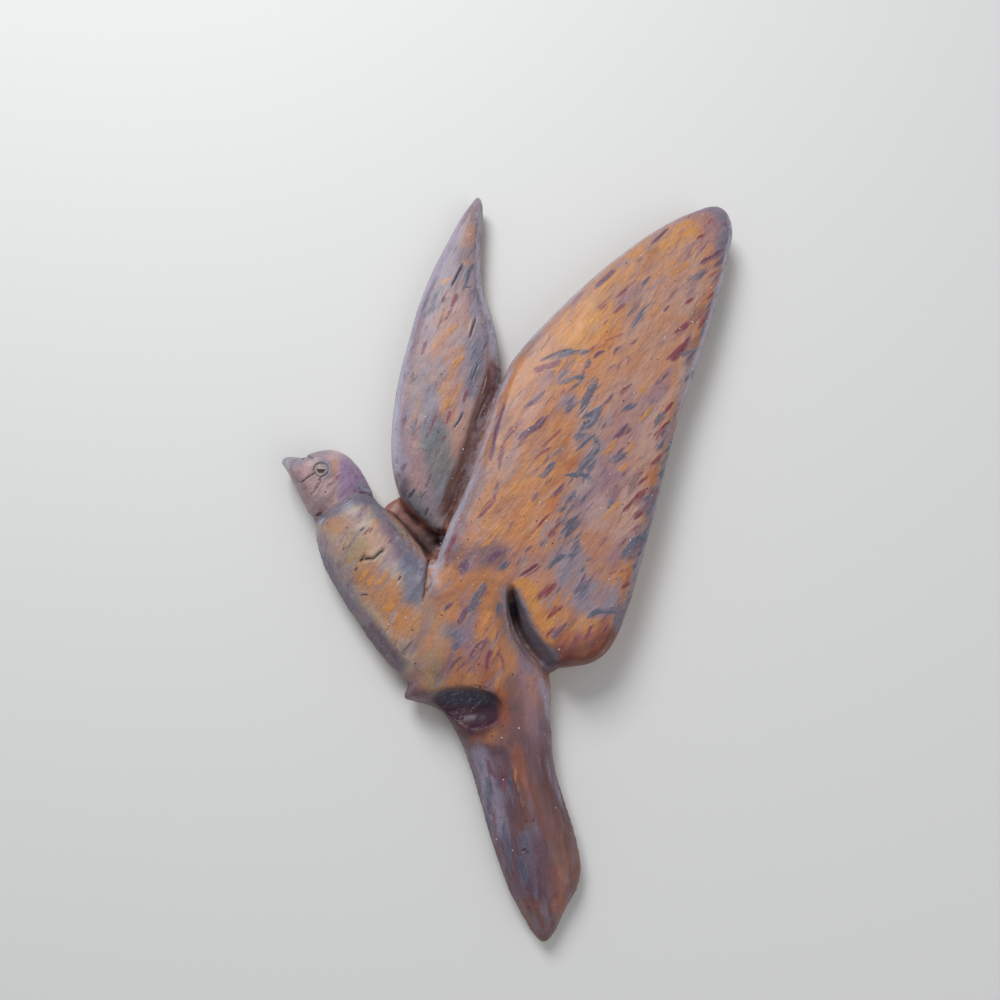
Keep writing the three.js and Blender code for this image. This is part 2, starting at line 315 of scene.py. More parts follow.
# Washes go on in this order. Each row is a pigment, a reach, a strength and a path.
WASHES = (
    *washes(
        Area.NEAR_WING,
        (Pigment.ROSE, 3.6, 0.75, 26, 44, 22, 34, 19, 26, 15.5, 16, 14, 6),
        (Pigment.MAUVE, 2.2, 0.6, 18, 19, 15, 11, 11.5, 4, 13, -4),
        (Pigment.AMBER, 2.2, 1, 9.6, 29.4, 11.6, 31, 12.8, 32.8),
        (Pigment.AMBER, 1.6, 0.6, 13, 37, 18, 41.5, 23.5, 45.5, 27.5, 47),
        (Pigment.GINGER, 2.4, 0.8, 5, 22, 2.6, 14, 0, 6, -2.4, 1),
        (Pigment.MAUVE, 1.2, 0.5, 6, 23.4, 4, 19.4, 1.6, 15),
        (Pigment.MAUVE, 2.2, 0.5, -5, -1.6, -1, -4, 3.4, -5.4),
        (Pigment.AMBER, 1.4, 1, 1.4, -8.4, 2.4, -10.8, 4.4, -14.2),
        (Pigment.AMBER, 1.1, 0.7, 10, -13.4, 13.6, -13.6),
        (Pigment.UMBER, 0.9, 0.4, 19.8, 40, 22, 42.8),
        (Pigment.HEATHER, 1.5, 0.75, 29.6, 51.8, 22, 48.2, 14, 41.6, 7, 34.6, 1.6, 28),
        (Pigment.SLATE, 0.8, 0.9, 33, 53, 26, 51.2, 17.2, 45.5, 8, 37.3, 0.8, 29.4),
        (Pigment.MAUVE, 2.3, 0.85, 30, 50, 32, 46.4),
        (Pigment.SLATE, 1.5, 0.95, 29.6, 51.8, 32.6, 50.6, 33.4, 48, 33, 45.4, 32.4, 43.4),
        (Pigment.MAUVE, 1.1, 0.6, 33, 43, 31, 36, 28.6, 28.8, 26.8, 24),
        (Pigment.BLUSH, 1.8, 0.6, 10, 5.6, 12.4, 1.8),
        (Pigment.SMOKE, 1.6, 0.4, 8.6, 19, 10.8, 15.6, 11.2, 9, 8.8, 5, 8.6, 0.6),
        (Pigment.SMOKE, 1.2, 0.35, 16, 36, 19, 36.4),
        (Pigment.SMOKE, 1.2, 0.75, 26.4, 24, 23.4, 13, 20.4, 2, 17, -9),
        (Pigment.BLUSH, 1.6, 0.6, 22, 20, 19.6, 12),
        (Pigment.BLUSH, 1.2, 0.9, 26.6, 26, 25, 20.6),
        (Pigment.ROSE, 1.3, 0.9, 26, 34, 27.6, 36.8),
        (Pigment.ROSE, 1.4, 0.8, 20.2, 13.6, 19.4, 10),
        (Pigment.SMOKE, 2.3, 0.9, 8, -4, 9, -9, 12.4, -9.6),
        (Pigment.BLUSH, 1.4, 0.7, 18, 7, 16.4, 2, 15.6, -1),
        (Pigment.INDIGO, 0.8, 0.85, 14.6, -13.8, 15.2, -11.4),
        (Pigment.INDIGO, 0.8, 0.7, 16.4, -3.2, 18.4, -0.8),
        (Pigment.INDIGO, 0.7, 0.6, 18.6, 3.4, 20, 5.8),
        (Pigment.RUST, 1.1, 0.7, 6, -15.4, 9.6, -15.2, 13, -13.4),
        # Oxblood stain, with painted shade where the lobe's lower end turns down.
        (Pigment.OXBLOOD, 1.8, 1, 5, -18.4, 9.4, -17.8, 13.6, -15.8),
        (Pigment.SLATE, 0.7, 0.8, 0.4, -8.8, 1.9, -13.2, 3.7, -16.2, 5.4, -17.6),
        (Pigment.DUSK, 1.6, 0.75, -9, -3, -6.6, -4.4, -2.6, -3.4),
        (Pigment.SLATE, 0.7, 0.9, -11.2, -7, -11.5, -10),
        (Pigment.SMOKE, 0.8, 0.6, -4.4, 8.6, -6.8, 3, -8.6, -2),
    ),
    *washes(
        Area.FAR_WING,
        (Pigment.SLATE, 2.2, 0.65, -5.2, 54, -6.6, 47, -9.6, 41),
        (Pigment.SMOKE, 1.4, 0.6, -9.6, 44, -13.6, 34, -16, 26),
        (Pigment.APRICOT, 0.7, 0.5, -6.6, 48.6, -7.2, 46.4),
        (Pigment.APRICOT, 0.9, 0.3, -10.5, 34, -12.6, 27, -13.6, 20),
        (Pigment.APRICOT, 1.1, 0.55, -8.6, 28, -9.6, 20, -10.6, 17),
        (Pigment.SMOKE, 0.8, 0.5, -12.4, 32, -13.4, 25),
        (Pigment.SMOKE, 1.3, 0.8, -6, 41, -5.4, 36, -4.4, 31),
        (Pigment.SLATE, 1.1, 0.85, -5.4, 29, -5.2, 25.6, -6.4, 22),
        (Pigment.LAVENDER, 0.8, 0.8, -3.2, 32, -2.6, 28),
        (Pigment.SLATE, 1.1, 0.5, -12.9, 22.9, -13, 19),
        (Pigment.STONE, 2, 1, -11.8, 15.6, -10.9, 10, -10.4, 5.6),
        (Pigment.SMOKE, 1.1, 0.8, -12.4, 22, -12.4, 17.4),
        (Pigment.MAUVE, 1.3, 0.6, -14.6, 12, -13.6, 7, -12.4, 3.6),
        # Lilac paint and painted highlight along the slim wing's left rim.
        (Pigment.LAVENDER, 1, 0.75, -9, 49, -13, 40, -16, 31, -17.6, 21, -17.6, 14, -16.6, 10),
        (Pigment.CHARCOAL, 0.9, 0.7, -16.4, 8, -14.8, 4.6, -12.6, 2.2),
        # Umber stain and painted shade on the slim wing's flank, in the big wing's shadow.
        (Pigment.UMBER, 1.5, 0.95, -2.4, 25, -4.2, 18, -6.2, 11, -8.8, 4.4),
        (Pigment.STONE, 1.6, 0.6, -14.6, 5, -11.2, 2.2),
    ),
    *washes(
        Area.WHOLE,
        # Painted shade down the crease between the two wings, umber and darker bark.
        (Pigment.UMBER, 1.1, 1, -2.2, 24.6, -4, 20.2, -5.7, 14.8, -7.5, 9, -9.5, 3.8),
        (Pigment.BARK, 0.6, 0.5, -3, 24, -4.9, 19.6, -6.6, 14.2, -8.5, 8.4, -10.4, 3.2),
    ),
    *washes(
        Area.HEAD,
        (Pigment.SMOKE, 0.9, 0.8, -34, 11.4, -31.4, 10.8),
        (Pigment.SLATE, 0.7, 0.6, -30, 11.6, -27.4, 12.3),
        (Pigment.MAUVE, 0.9, 0.5, -31.6, 8, -30.4, 5, -28.6, 3),
        (Pigment.SMOKE, 0.6, 0.8, -28, 10.5, -26.9, 9.9, -26.7, 8.5),
        (Pigment.ORANGE, 0.4, 0.6, -26.1, 10.4, -26, 7.9),
    ),
    *washes(
        Area.NAPE,
        (Pigment.SMOKE, 0.6, 0.9, -22, 6.9, -20.4, 5.9),
    ),
    *washes(
        Area.WEB,
        # Painted shade in the deep end of the web.
        (Pigment.BARK, 1.5, 1, -12.8, -1.4, -10.4, -0.4),
    ),
    *washes(
        Area.BREAST,
        (Pigment.OLIVE, 1.6, 0.75, -22.4, -1.6, -22.8, -5.2),
        (Pigment.ORANGE, 1.9, 0.85, -20.4, -6.4, -17.4, -9.8, -15, -13),
        (Pigment.ORANGE, 0.9, 0.6, -24.6, 0.6, -23.6, 1.6),
        (Pigment.BLUSH, 1, 0.6, -28.4, 0.8, -27, -2),
        (Pigment.SLATE, 0.95, 1, -20.2, 4.9, -22.6, 4.8, -24.2, 3.9, -26.4, 2.8, -28.6, 1.8),
        (Pigment.SLATE, 0.8, 0.9, -19.6, 3.4, -17.4, 0, -15.6, -3),
        (Pigment.SLATE, 1.6, 1, -15.6, -3.4, -14, -5.6, -13.6, -9),
        (Pigment.SMOKE, 1.1, 0.8, -28, -1, -25.8, -5, -22.4, -10),
        (Pigment.INDIGO, 1.2, 0.8, -27.2, -4.4, -24.6, -9.8, -20, -14.2, -16.2, -18.8),
        (Pigment.BERRY, 1.1, 0.3, -19, -0.4, -17, -3.4),
        (Pigment.HEATHER, 1, 0.5, -25, -2.6, -23.8, -6.6),
        # Plum paint, with painted shade where the belly's lower edge turns down.
        (Pigment.PLUM, 1.2, 0.7, -20.4, -14.2, -16.6, -18.8),
    ),
    *washes(
        Area.HIP,
        (Pigment.OLIVE, 1.4, 0.7, -11.6, -18.4, -11.2, -21),
        (Pigment.SLATE, 1.1, 0.8, -9, -13.9, -6.6, -15.1),
        (Pigment.MAUVE, 1.1, 0.6, -6.4, -9.6, -6.4, -14.6, -5, -18.6),
        (Pigment.MAUVE, 1.2, 0.5, -15.4, -17.4, -13.8, -20.6),
        (Pigment.TAN, 1.9, 0.4, -12.6, -11.6, -11.2, -15.6),
        (Pigment.RUST, 1.3, 0.6, -3.8, -19, -3.2, -21.6),
        (Pigment.BROWN, 0.8, 0.5, -2, -11, -1.8, -14),
        (Pigment.BROWN, 1.5, 0.9, 0, -21.6, 0.4, -26.6, 0.8, -30),
        (Pigment.RUST, 0.8, 0.6, -2, -22.6, -1.4, -27),
        (Pigment.MAUVE, 1.7, 0.7, 2.4, -20.4, 4, -27.6),
        (Pigment.SLATE, 0.8, 0.75, -1, -8.4, -0.7, -12, 0.2, -15.6, 2.2, -19),
        # Lilac paint and painted highlight on the hip's right edge.
        (Pigment.LAVENDER, 0.5, 0.5, 3.6, -21.4, 4.8, -24),
        (Pigment.CHARCOAL, 1.3, 1, -9.6, -23.4, -6.6, -23.2, -3.6, -23.6),
        (Pigment.GRAPE, 1.6, 1, -10.4, -25, -7.6, -26.8, -5, -26.8, -3.2, -25),
        (Pigment.CHARCOAL, 0.9, 0.9, -9.2, -23.6, -6.4, -23.4, -3.4, -23.6),
        (Pigment.GRAPE, 1.1, 1, -9.6, -25, -6.4, -25.4, -3.8, -24.8),
        (Pigment.DUSK, 1.3, 0.6, -0.4, -24.6, -0.8, -27.4, -1.4, -30),
        (Pigment.RUST, 0.7, 0.5, -1.6, -23, -1.2, -26),
        (Pigment.PLUM, 1.6, 0.95, -16.6, -21.6, -12.6, -23.8),
        (Pigment.HEATHER, 1.2, 0.6, -14.6, -16, -13.4, -18.4),
    ),
    *washes(
        Area.WHOLE,
        (Pigment.SLATE, 1.1, 0.85, 0.2, -10.4, 1.2, -12.8, 3, -15.8, 4.8, -18.2),
        (Pigment.DUSK, 1.8, 0.3, -6.4, -31.2, -3.6, -31, -0.6, -30.4),
    ),
    *washes(
        Area.TAIL,
        (Pigment.RUST, 0.7, 0.5, 0.2, -30, 1.2, -33.6, 3.4, -37.9, 4.8, -41),
        (Pigment.PLUM, 1, 0.5, 2.4, -29, 3, -34, 4.6, -40),
        (Pigment.DUSK, 0.9, 0.6, 4.8, -27, 6, -34, 7.8, -42),
        (Pigment.UMBER, 1.6, 0.5, 4.4, -36, 5.6, -42),
        (Pigment.RUST, 0.9, 0.7, 5.4, -46, 5.8, -50),
        (Pigment.INDIGO, 1.2, 0.6, 1.6, -42, 1.4, -47.6),
        (Pigment.UMBER, 1.4, 0.6, 2.4, -52, 3.6, -54.6),
        (Pigment.PLUM, 1.7, 0.6, 3.2, -43, 4, -48),
    ),
    *washes(
        Area.TAIL_SIDE,
        (Pigment.LAVENDER, 1, 0.5, -4.8, -30.6, -3.2, -36, -1.8, -41),
        (Pigment.PLUM, 0.9, 0.6, -2.6, -42, -0.6, -48),
    ),
)

# Single strokes of each paint in each area, in this order. Each row is a width and a path.
STROKES = {
    (Area.NEAR_WING, Pigment.AMBER): (
        (0.9, 23.5, 43.7, 26.2, 46.4), (0.9, 25.4, 45.7, 28.8, 47.6), (1, 9, 25.6, 10.3, 26),
        (0.8, 2, 8, 5, 11.5), (0.9, -4.5, -2.5, -1.6, 1), (0.7, 0.6, -8.6, 2.6, -10.6),
        (0.8, 12.6, 1.2, 15.6, 4.6),
    ),
    (Area.NEAR_WING, Pigment.CRIMSON): (
        (0.35, 12.7, 33.4, 15, 35.2, 17.8, 37.6), (0.4, 13.3, 30.9, 14.3, 32.1),
        (0.45, 15.3, 33.2, 17.2, 35), (0.35, 13.6, 28.6, 16.5, 29.9), (0.6, 25.5, 34.4, 27.4, 35.6),
        (0.9, 24.3, 29.9, 27.2, 32.2), (0.5, 28.3, 45.5, 29.4, 46), (0.8, 31, 49, 30.2, 47.7),
        (1, 23.2, 25.5, 25.6, 28.3), (0.9, 15.1, 20.2, 17.4, 21.6), (0.5, 13.9, 24.1, 15, 24.9),
        (0.8, 14.7, 13.8, 16.5, 14.6), (1.5, 16, 3, 18.5, 5.3), (0.7, 17.2, 7.8, 18.6, 8.8),
        (0.9, 2.8, 23.9, 5, 24.6, 7.3, 25.4), (0.6, 4.3, 12.5, 5.6, 13.7, 7.5, 15.4),
        (0.7, -5.3, 1.8, -3.8, 3.4, -2.6, 5, -2.2, 7.5), (0.6, -2.1, 8.5, -1.5, 12.5, -0.1, 15.3),
        (0.45, 1.5, -1.8, 2.9, 0, 5.1, 2.4), (0.7, 5, -0.9, 5.9, 0.7),
        (0.9, 0.7, -6.6, 2.3, -5.7, 3.5, -4.8), (1.1, 3.5, -9.7, 5.9, -7.1),
        (1.1, 4.2, -12.3, 6.9, -10.2), (0.9, 13.5, -6.4, 15.7, -5.3), (0.8, 15, -7.9, 16.9, -7),
        (0.8, 14.1, -2.4, 15, -1.4), (0.7, 6.3, -17, 7.6, -15), (0.7, 8, -16.5, 9.5, -14),
        (0.7, 10.1, -16.2, 11.3, -14.3), (0.8, -9.8, -4.4, -8.9, -1.8, -7.9, 0.5),
    ),
    (Area.NEAR_WING, Pigment.PURPLE): (
        (0.9, 27.7, 40.5, 30, 41.9, 32.4, 43.6), (1, 0.7, 13.2, 1.8, 14.4, 3.8, 15.7, 5.1, 17.3),
        (0.6, 1.6, 18.3, 2.9, 19.1, 4.5, 20.7), (0.7, 4.8, 4.5, 6.3, 5.6, 7.5, 6.8),
        (0.5, 2.7, 4.5, 3.7, 6), (1.2, 5.2, -15.2, 7.2, -13.1), (1.4, -7.4, -6, -6.4, -3.8),
        (0.9, -3.6, -4.6, -1.8, -2.6), (0.8, -1.2, -0.4, 0.2, 1.6), (0.5, 21.4, 44.6, 24, 47.2),
        (0.7, 12, 36.8, 15.6, 40.2), (0.6, -3.2, 10.6, -2.4, 15, -1.2, 19),
    ),
    (Area.NEAR_WING, Pigment.SLATE): (
        (0.35, 4.3, 25.6, 6.1, 26.5, 7.6, 27.1, 9.2, 27.4),
        (0.8, 5, 25.8, 6.8, 26.3, 8.5, 26.8, 9.9, 27, 11.1, 26.8, 11.5, 26.3),
        (0.7, 11.5, 26.3, 11.2, 25.4, 10.8, 24.5), (0.8, 6.3, 22.2, 7.4, 23.3, 8.6, 24.2),
        (0.7, 6.4, 21.7, 8.4, 22.7, 10.7, 23.2), (1.4, 7.5, 17.6, 8.4, 18.9, 9.7, 20.2),
        (1.1, 10, 18.4, 11.6, 21.3, 12.4, 23), (0.4, 9.1, 16.6, 11.5, 19.3),
        (1.2, 10, 14.9, 11.3, 15.9, 13, 18.9), (1.4, 8.7, 13.2, 9.6, 13.9, 10.8, 14.2),
        (1, 9.1, 8.6, 10.9, 10.7, 12.2, 12.2, 12.4, 13.2, 12, 13.8, 11, 14),
        (0.5, 7.8, 8.1, 10, 8.2, 11.5, 7.7), (0.8, 11.5, 7.7, 10.7, 6.8), (1.6, 7.9, 3.9, 9, 6),
        (1.2, 13.6, 10, 16.5, 11.5), (0.9, 15.9, 17.5, 17.9, 19), (0.7, 5.2, 10.4, 7.4, 12.4),
        (0.9, 3.7, 7.9, 4.7, 8.4, 6.5, 10.7), (1.3, 6.2, -1.4, 8.3, 0.7, 9.4, 1.8),
        (0.8, 3.8, -6, 5.1, -4.6, 6.6, -3.7, 8.7, -3.3), (1.3, 8.5, -9.7, 9.6, -8.6, 10.7, -7.6),
        (0.8, 10, -4.2, 11.1, -3.6), (0.9, 10.1, -12.1, 11.8, -11.2, 14, -11.1, 15.2, -11.2),
        (1.7, 14.2, -14, 15, -11.6), (1.2, 15, -4.2, 16, -2.8, 17.2, -1.2, 18.8, -1.2),
        (0.8, 14.2, -7, 15.6, -6.7), (1, 18.4, 4.2, 20, 5), (0.7, 30.4, 35.5, 31, 37.8),
        (0.7, 29.3, 33.5, 30.4, 34.2), (0.8, 24.7, 26.2, 26.8, 27.6), (1.2, 20.6, 15.4, 22.4, 18),
        (1, 20.4, 11.6, 21.6, 13.4), (1.2, 13.4, 3, 14.2, 5), (0.9, 8.2, -2.8, 9.4, -1.4),
        (0.8, 6.2, 2.6, 7.6, 3.8), (0.9, -2.6, -6, -0.6, -4.4), (1.1, 27, 38, 29.4, 40.4),
    ),
    (Area.FAR_WING, Pigment.SLATE): (
        (0.5, -7.7, 42.8, -8.7, 40.6, -9.4, 39.1), (0.4, -7.3, 38.8, -6.3, 38.9),
        (0.5, -5.6, 33.8, -6.1, 32.2, -6.6, 30.4), (0.5, -7.5, 18.5, -8, 17.3, -8.8, 16.1),
        (0.4, -10.4, 37.2, -10.9, 36.3), (1.2, -5.2, 29, -6.4, 25.8), (0.5, -12.3, 23.4, -13, 21.6),
        (0.6, -14.2, 18, -15, 15.4),
    ),
    (Area.FAR_WING, Pigment.AMBER): (
        (0.8, -7.2, 44, -7.8, 42.4), (0.9, -10, 35, -10.8, 33), (1, -7.4, 28, -9, 25.8),
        (0.7, -11.6, 31, -12.6, 28), (0.7, -9.2, 22, -10.4, 18.6),
    ),
    (Area.FAR_WING, Pigment.CRIMSON): (
        (0.5, -8.6, 38, -9.4, 35.8), (0.5, -13, 30.6, -13.8, 28), (0.5, -11.4, 24, -12.2, 21.4),
        (0.5, -6.6, 22.6, -7.4, 20.4), (0.4, -9.4, 19, -9.9, 17),
    ),
    (Area.BREAST, Pigment.SLATE): (
        (0.5, -21.9, 0, -21.2, 0.5), (0.5, -21.7, -9, -20.3, -9), (0.5, -16.3, -7.1, -15.9, -6.4),
        (0.6, -22.4, -5.8, -22.1, -5.2),
    ),
    (Area.BREAST, Pigment.AMBER): (
        (0.8, -18, -11.2, -16.6, -10.4), (0.9, -20.6, -7.6, -18.8, -6),
    ),
    (Area.HIP, Pigment.SLATE): (
        (1, -6.4, -12.1, -5.7, -10.7, -4.5, -7.9), (0.9, -4.8, -8.6, -3.7, -7.2),
        (1.2, -8.8, -14.2, -6.8, -14.8), (0.9, -8.7, -16.6, -6.9, -15.4),
        (0.5, -3.5, -21.6, -3, -20.7), (0.6, -13, -18.9, -12.7, -18.4),
        (1, -2.4, -12.4, -1.8, -10.2),
    ),
    (Area.HIP, Pigment.PURPLE): (
        (0.9, -6.6, -18.8, -5.2, -16.3, -3.7, -15.4), (0.4, -9.3, -20, -8.4, -18.5, -7.2, -17.5),
        (0.4, -8.3, -19.8, -6.6, -18.1), (0.8, -4.5, -9.4, -3.4, -8), (0.8, -7.6, -13, -6.4, -10.4),
    ),
    (Area.HIP, Pigment.CRIMSON): (
        (0.45, -4, -20.2, -3.8, -18.6, -3.3, -16.9), (0.45, -1.2, -20.2, -1.4, -18.6, -2, -17.2),
        (0.5, -5.4, -14, -4.6, -11.8), (0.4, -2.6, -15.6, -2, -13.4),
    ),
    (Area.HIP, Pigment.AMBER): (
        (0.4, -5.7, -11.7, -3.7, -9.1), (0.7, -2.8, -18.6, -2.4, -16), (0.8, -4.4, -14, -3.2, -11),
        (0.8, -10.6, -12.4, -9.4, -10.8), (0.7, -2.4, -22, -2.2, -19.6),
        (0.7, -6, -20.6, -5.2, -18.8),
    ),
    (Area.TAIL, Pigment.AMBER): (
        (0.3, 0.3, -32, 0.2, -33.5, 0.8, -35.8, 1.1, -37),
    ),
    (Area.TAIL, Pigment.SLATE): (
        (0.9, 0.9, -43.4, 1.5, -47.2),
    ),
    (Area.TAIL_SIDE, Pigment.SLATE): (
        (0.7, -0.6, -33.5, -0.9, -36), (0.9, -3.6, -33.5, -2.8, -38.6), (0.8, -1.6, -39, -0.6, -44),
        (0.7, -5.4, -30, -4.4, -33), (0.5, -0.9, -41, -0.4, -46.6),
    ),
    (Area.TAIL_SIDE, Pigment.CRIMSON): (
        (0.35, -1.9, -31.4, -1.2, -35.6), (0.5, -3.4, -39, -2.2, -44),
    ),
    (Area.HEAD, Pigment.SLATE): (
        (0.45, -30.3, 11.5, -29.2, 11), (0.4, -22.6, 6.8, -22.2, 6.5),
    ),
}

# Strokes too many to place one by one.
FLURRIES = (
    Flurry(Pigment.AMBER, trail(26, 45, 14, 34, 6, 22, 2, 8, -3, 0), 4, 60),
    Flurry(Pigment.AMBER, trail(24, 36, 19, 20, 15, 4, 10, -10), 3.5, 36),
    Flurry(Pigment.CRIMSON, trail(31, 42, 27.4, 31, 23, 18, 19, 6, 15.4, -5), 1.8, 32),
    Flurry(Pigment.CRIMSON, trail(18, 38, 12, 27, 5, 18, 1, 6, -3, -2), 2.6, 26, widest=0.6),
    Flurry(Pigment.PURPLE, trail(27, 43, 17, 27, 12, 12, 6, -2, 9, -10), 4, 44),
    Flurry(Pigment.PURPLE, trail(3, 22, -1, 10, -5, 1, 2, -5), 2, 26),
    Flurry(Pigment.SLATE, trail(32.4, 43, 29, 31, 25, 18, 21.4, 8, 17.6, -4, 15.6, -11), 0.9, 46),
    Flurry(Pigment.SLATE, trail(11, 24, 11.4, 17, 10.6, 9, 7.6, 1, 10, -8), 1.8, 48),
    Flurry(Pigment.SLATE, trail(20, 40, 17, 31), 2.4, 10),
    Flurry(Pigment.CRIMSON, trail(4.6, -14.6, 9.4, -15, 13, -12.6), 1.2, 16, lean=60),
    Flurry(Pigment.SOOT, trail(16, 36, 10, 22, 8, 6, 4, -4), 6, 60, longest=1.3, widest=0.32),
    Flurry(Pigment.SLATE, trail(24.6, 17, 21.4, 8, 17.6, -4, 15.4, -12), 0.7, 30, longest=3,
     widest=1.3),
    Flurry(
        Pigment.CRIMSON, trail(23, 19, 19.4, 8, 15.6, -3, 12, -10), 1.2, 22, longest=3, widest=1
    ),
    Flurry(Pigment.SLATE, trail(-5.6, 48, -7, 40, -5, 30, -6, 22), 1.2, 24, Area.FAR_WING, lean=64),
    Flurry(Pigment.SLATE, trail(-12, 38, -14, 28, -13.4, 18), 2.2, 18, Area.FAR_WING, lean=64),
    Flurry(Pigment.AMBER, trail(-7.6, 44, -10.6, 34, -9, 26, -9.4, 16), 1.8, 22, Area.FAR_WING,
     lean=64),
    Flurry(Pigment.CRIMSON, trail(-9, 38, -12.6, 30, -12, 20, -9.6, 12), 2.2, 20, Area.FAR_WING,
     lean=64, widest=0.5),
    Flurry(Pigment.SOOT, trail(-15.4, 7, -12.6, 4), 1.4, 12, Area.FAR_WING, lean=56, longest=1.8,
     widest=0.4),
    Flurry(Pigment.SOOT, trail(-24, -1, -21, -8, -16, -14), 2.2, 12, Area.BREAST, longest=1,
     widest=0.3),
    Flurry(Pigment.SOOT, trail(-22, -14, -16, -19), 1.2, 10, Area.BREAST, lean=60, longest=1.6,
     widest=0.36),
    Flurry(Pigment.PURPLE, trail(-27, -5, -21.6, -12.4, -16, -18), 1.2, 20, Area.BREAST, lean=60),
    Flurry(Pigment.AMBER, trail(-22, -3, -18, -8, -14, -14), 2.2, 22, Area.BREAST, longest=3),
    Flurry(Pigment.CRIMSON, trail(-22, 1, -19, -1.6), 1.6, 8, Area.BREAST, longest=2),
    Flurry(Pigment.PURPLE, trail(-9, -10, -6, -15, -5, -20), 2, 26, Area.HIP, lean=56, longest=3.4),
    Flurry(Pigment.SLATE, trail(-5, -9, -7.4, -15), 1.4, 20, Area.HIP, lean=56, longest=3),
    Flurry(Pigment.AMBER, trail(-9, -10, -5, -14, -3, -18), 2.4, 26, Area.HIP, lean=56, longest=3),
    Flurry(Pigment.CRIMSON, trail(-4, -12, -2.6, -19), 1.4, 12, Area.HIP, lean=66, longest=3,
     widest=0.5),
    Flurry(Pigment.PURPLE, trail(1, -32, 2.6, -38, 3.6, -48), 2, 14, Area.TAIL, lean=100, longest=5,
     widest=0.6),
    Flurry(Pigment.SLATE, trail(1, -40, 2, -49), 1.2, 12, Area.TAIL, lean=100),
    Flurry(Pigment.CRIMSON, trail(0.6, -30, 3, -41), 1.6, 5, Area.TAIL, lean=100, widest=0.5),
    Flurry(Pigment.SLATE, trail(-4.6, -31, -3, -39, -0.4, -47), 1, 22, Area.TAIL_SIDE, lean=104),
    Flurry(Pigment.PURPLE, trail(-4.4, -31, -2.6, -39, 0, -47), 1.2, 14, Area.TAIL_SIDE, lean=104),
    Flurry(Pigment.PURPLE, trail(-31, 7, -26, 8, -23, 8), 1.8, 14, Area.HEAD, lean=40, longest=2.4,
     widest=0.5),
)

# Where the paint is rubbed pale along the edges, and where painted highlights and reflections
# light the rims. Each row is a reach, a strength and a path.
WORN_AND_LIT_RIMS = (
    *patches(
        Area.NEAR_WING,
        (0.9, 0.55, 32, 52.9, 26.2, 50.8, 17.6, 45, 8.5, 36.7, 1.4, 28.8, -1.4, 24.8),
        (1.2, 0.85, 10, 38.4, 5, 33.4, 1, 29, -1.4, 25),
        (1.9, 0.85, -1.6, 24.8, -3.6, 19.4, -5.1, 14.4, -6.7, 8.8, -8.6, 3.8, -10.3, -0.8, -11.4,
         -4),
    ),
    *patches(
        Area.WHOLE,
        (0.65, 0.75, -1.7, 25, -3.9, 19.4, -5.5, 14.4, -7.2, 8.8, -9.1, 3.8, -10.8, -0.8),
    ),
    *patches(
        Area.NEAR_WING,
        (0.6, 1, -8.6, 1.6, -10.4, -2.6, -11.3, -5.8),
        (0.9, 0.3, 14.4, -13.4, 17.6, -2, 20.4, 7),
        (0.7, 0.85, 34.4, 50, 34.2, 47, 31, 35.4, 28, 27, 24.6, 17),
        (0.5, 0.5, 24.6, 17, 21.6, 7.4, 18, -4, 15.4, -11.6),
    ),
    *patches(
        Area.FAR_WING,
        (1, 0.6, -5.6, 55.4, -10.2, 47.8, -14.6, 36.6, -17.6, 24),
        (1.3, 0.7, -15.8, 31, -17.6, 22, -18.1, 15, -16.8, 8.4),
        (1.2, 0.82, -17.3, 24, -18.1, 15, -17.3, 10),
        (1, 1, -17.8, 19.4, -18.1, 15, -17.8, 12.4),
        (0.9, 0.8, -5, 54, -5.1, 47, -4.9, 40, -3.7, 35, -2.6, 30, -2.4, 27),
    ),
    *patches(
        Area.HEAD,
        (0.6, 0.35, -29, 12.4, -26, 12.6, -23.2, 9.8, -21.6, 7.4),
        (0.6, 1, -33.8, 11.2, -33, 9.9),
        (0.5, 0.8, -22.5, 6.9, -21.6, 6.5),
    ),
    *patches(
        Area.BREAST,
        (0.4, 0.9, -27.9, 1.7, -27.2, 1.9),
        (0.26, 1.3, -16.5, -11.4, -17.6, -14.3),
        (0.9, 0.5, -29.2, 1.2, -28.8, -1.4, -27.4, -5),
        (0.9, 0.45, -19, 3.2, -16.6, 0.2, -13.6, -3.4, -13, -8),
    ),
    *patches(
        Area.HIP,
        (0.6, 0.7, 2.4, -19, 4.4, -21.4, 5, -26),
        (0.4, 0.5, -0.8, -8.6, -0.6, -12, 0.2, -15),
    ),
    *patches(Area.TAIL, (0.6, 0.35, 5, -27, 5.4, -33, 7, -38.4, 8.4, -43)),
    *patches(Area.TAIL_SIDE, (1, 0.4, -6.6, -30.6, -4.8, -35, -2.8, -42)),
)

# Hollows kept light: little dirt and little painted shade.
LESS_DARKENED_HOLLOWS = patches(
    Area.WHOLE,
    (1.6, 0.8, -20, 5.3, -22.5, 5.6, -25.2, 4.2, -27.6, 2.8, -29.6, 2),
    (1.7, 0.85, -0.2, -9, 0.8, -12.4, 2.6, -15.6, 5, -18.4),
    (1.6, 0.5, -8, -26, -3.6, -25.6),
    (1.8, 0.85, -9, -24, -4, -23.8),
    (2.4, 0.7, -11.6, -9, -9, -6),
)

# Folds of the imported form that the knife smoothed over.
SMOOTHED = patches(
    Area.WHOLE,
    (2.6, 1, -10.6, -6.6, -8, -8.4),
    (1.7, 1, -19.8, 5, -22.6, 5.7, -25.2, 4.4, -27.6, 2.8, -29.4, 2),
    (1.6, 1, -4, -7.4, -1.6, -6.4),
    (1.5, 0.3, 1.2, -12.4, 3, -15.6, 4.8, -18),
    (1.1, 0.35, -1.2, 24.8, -3.3, 19.4, -4.8, 14.4, -6.6, 8.8, -8.7, 3.8),
)

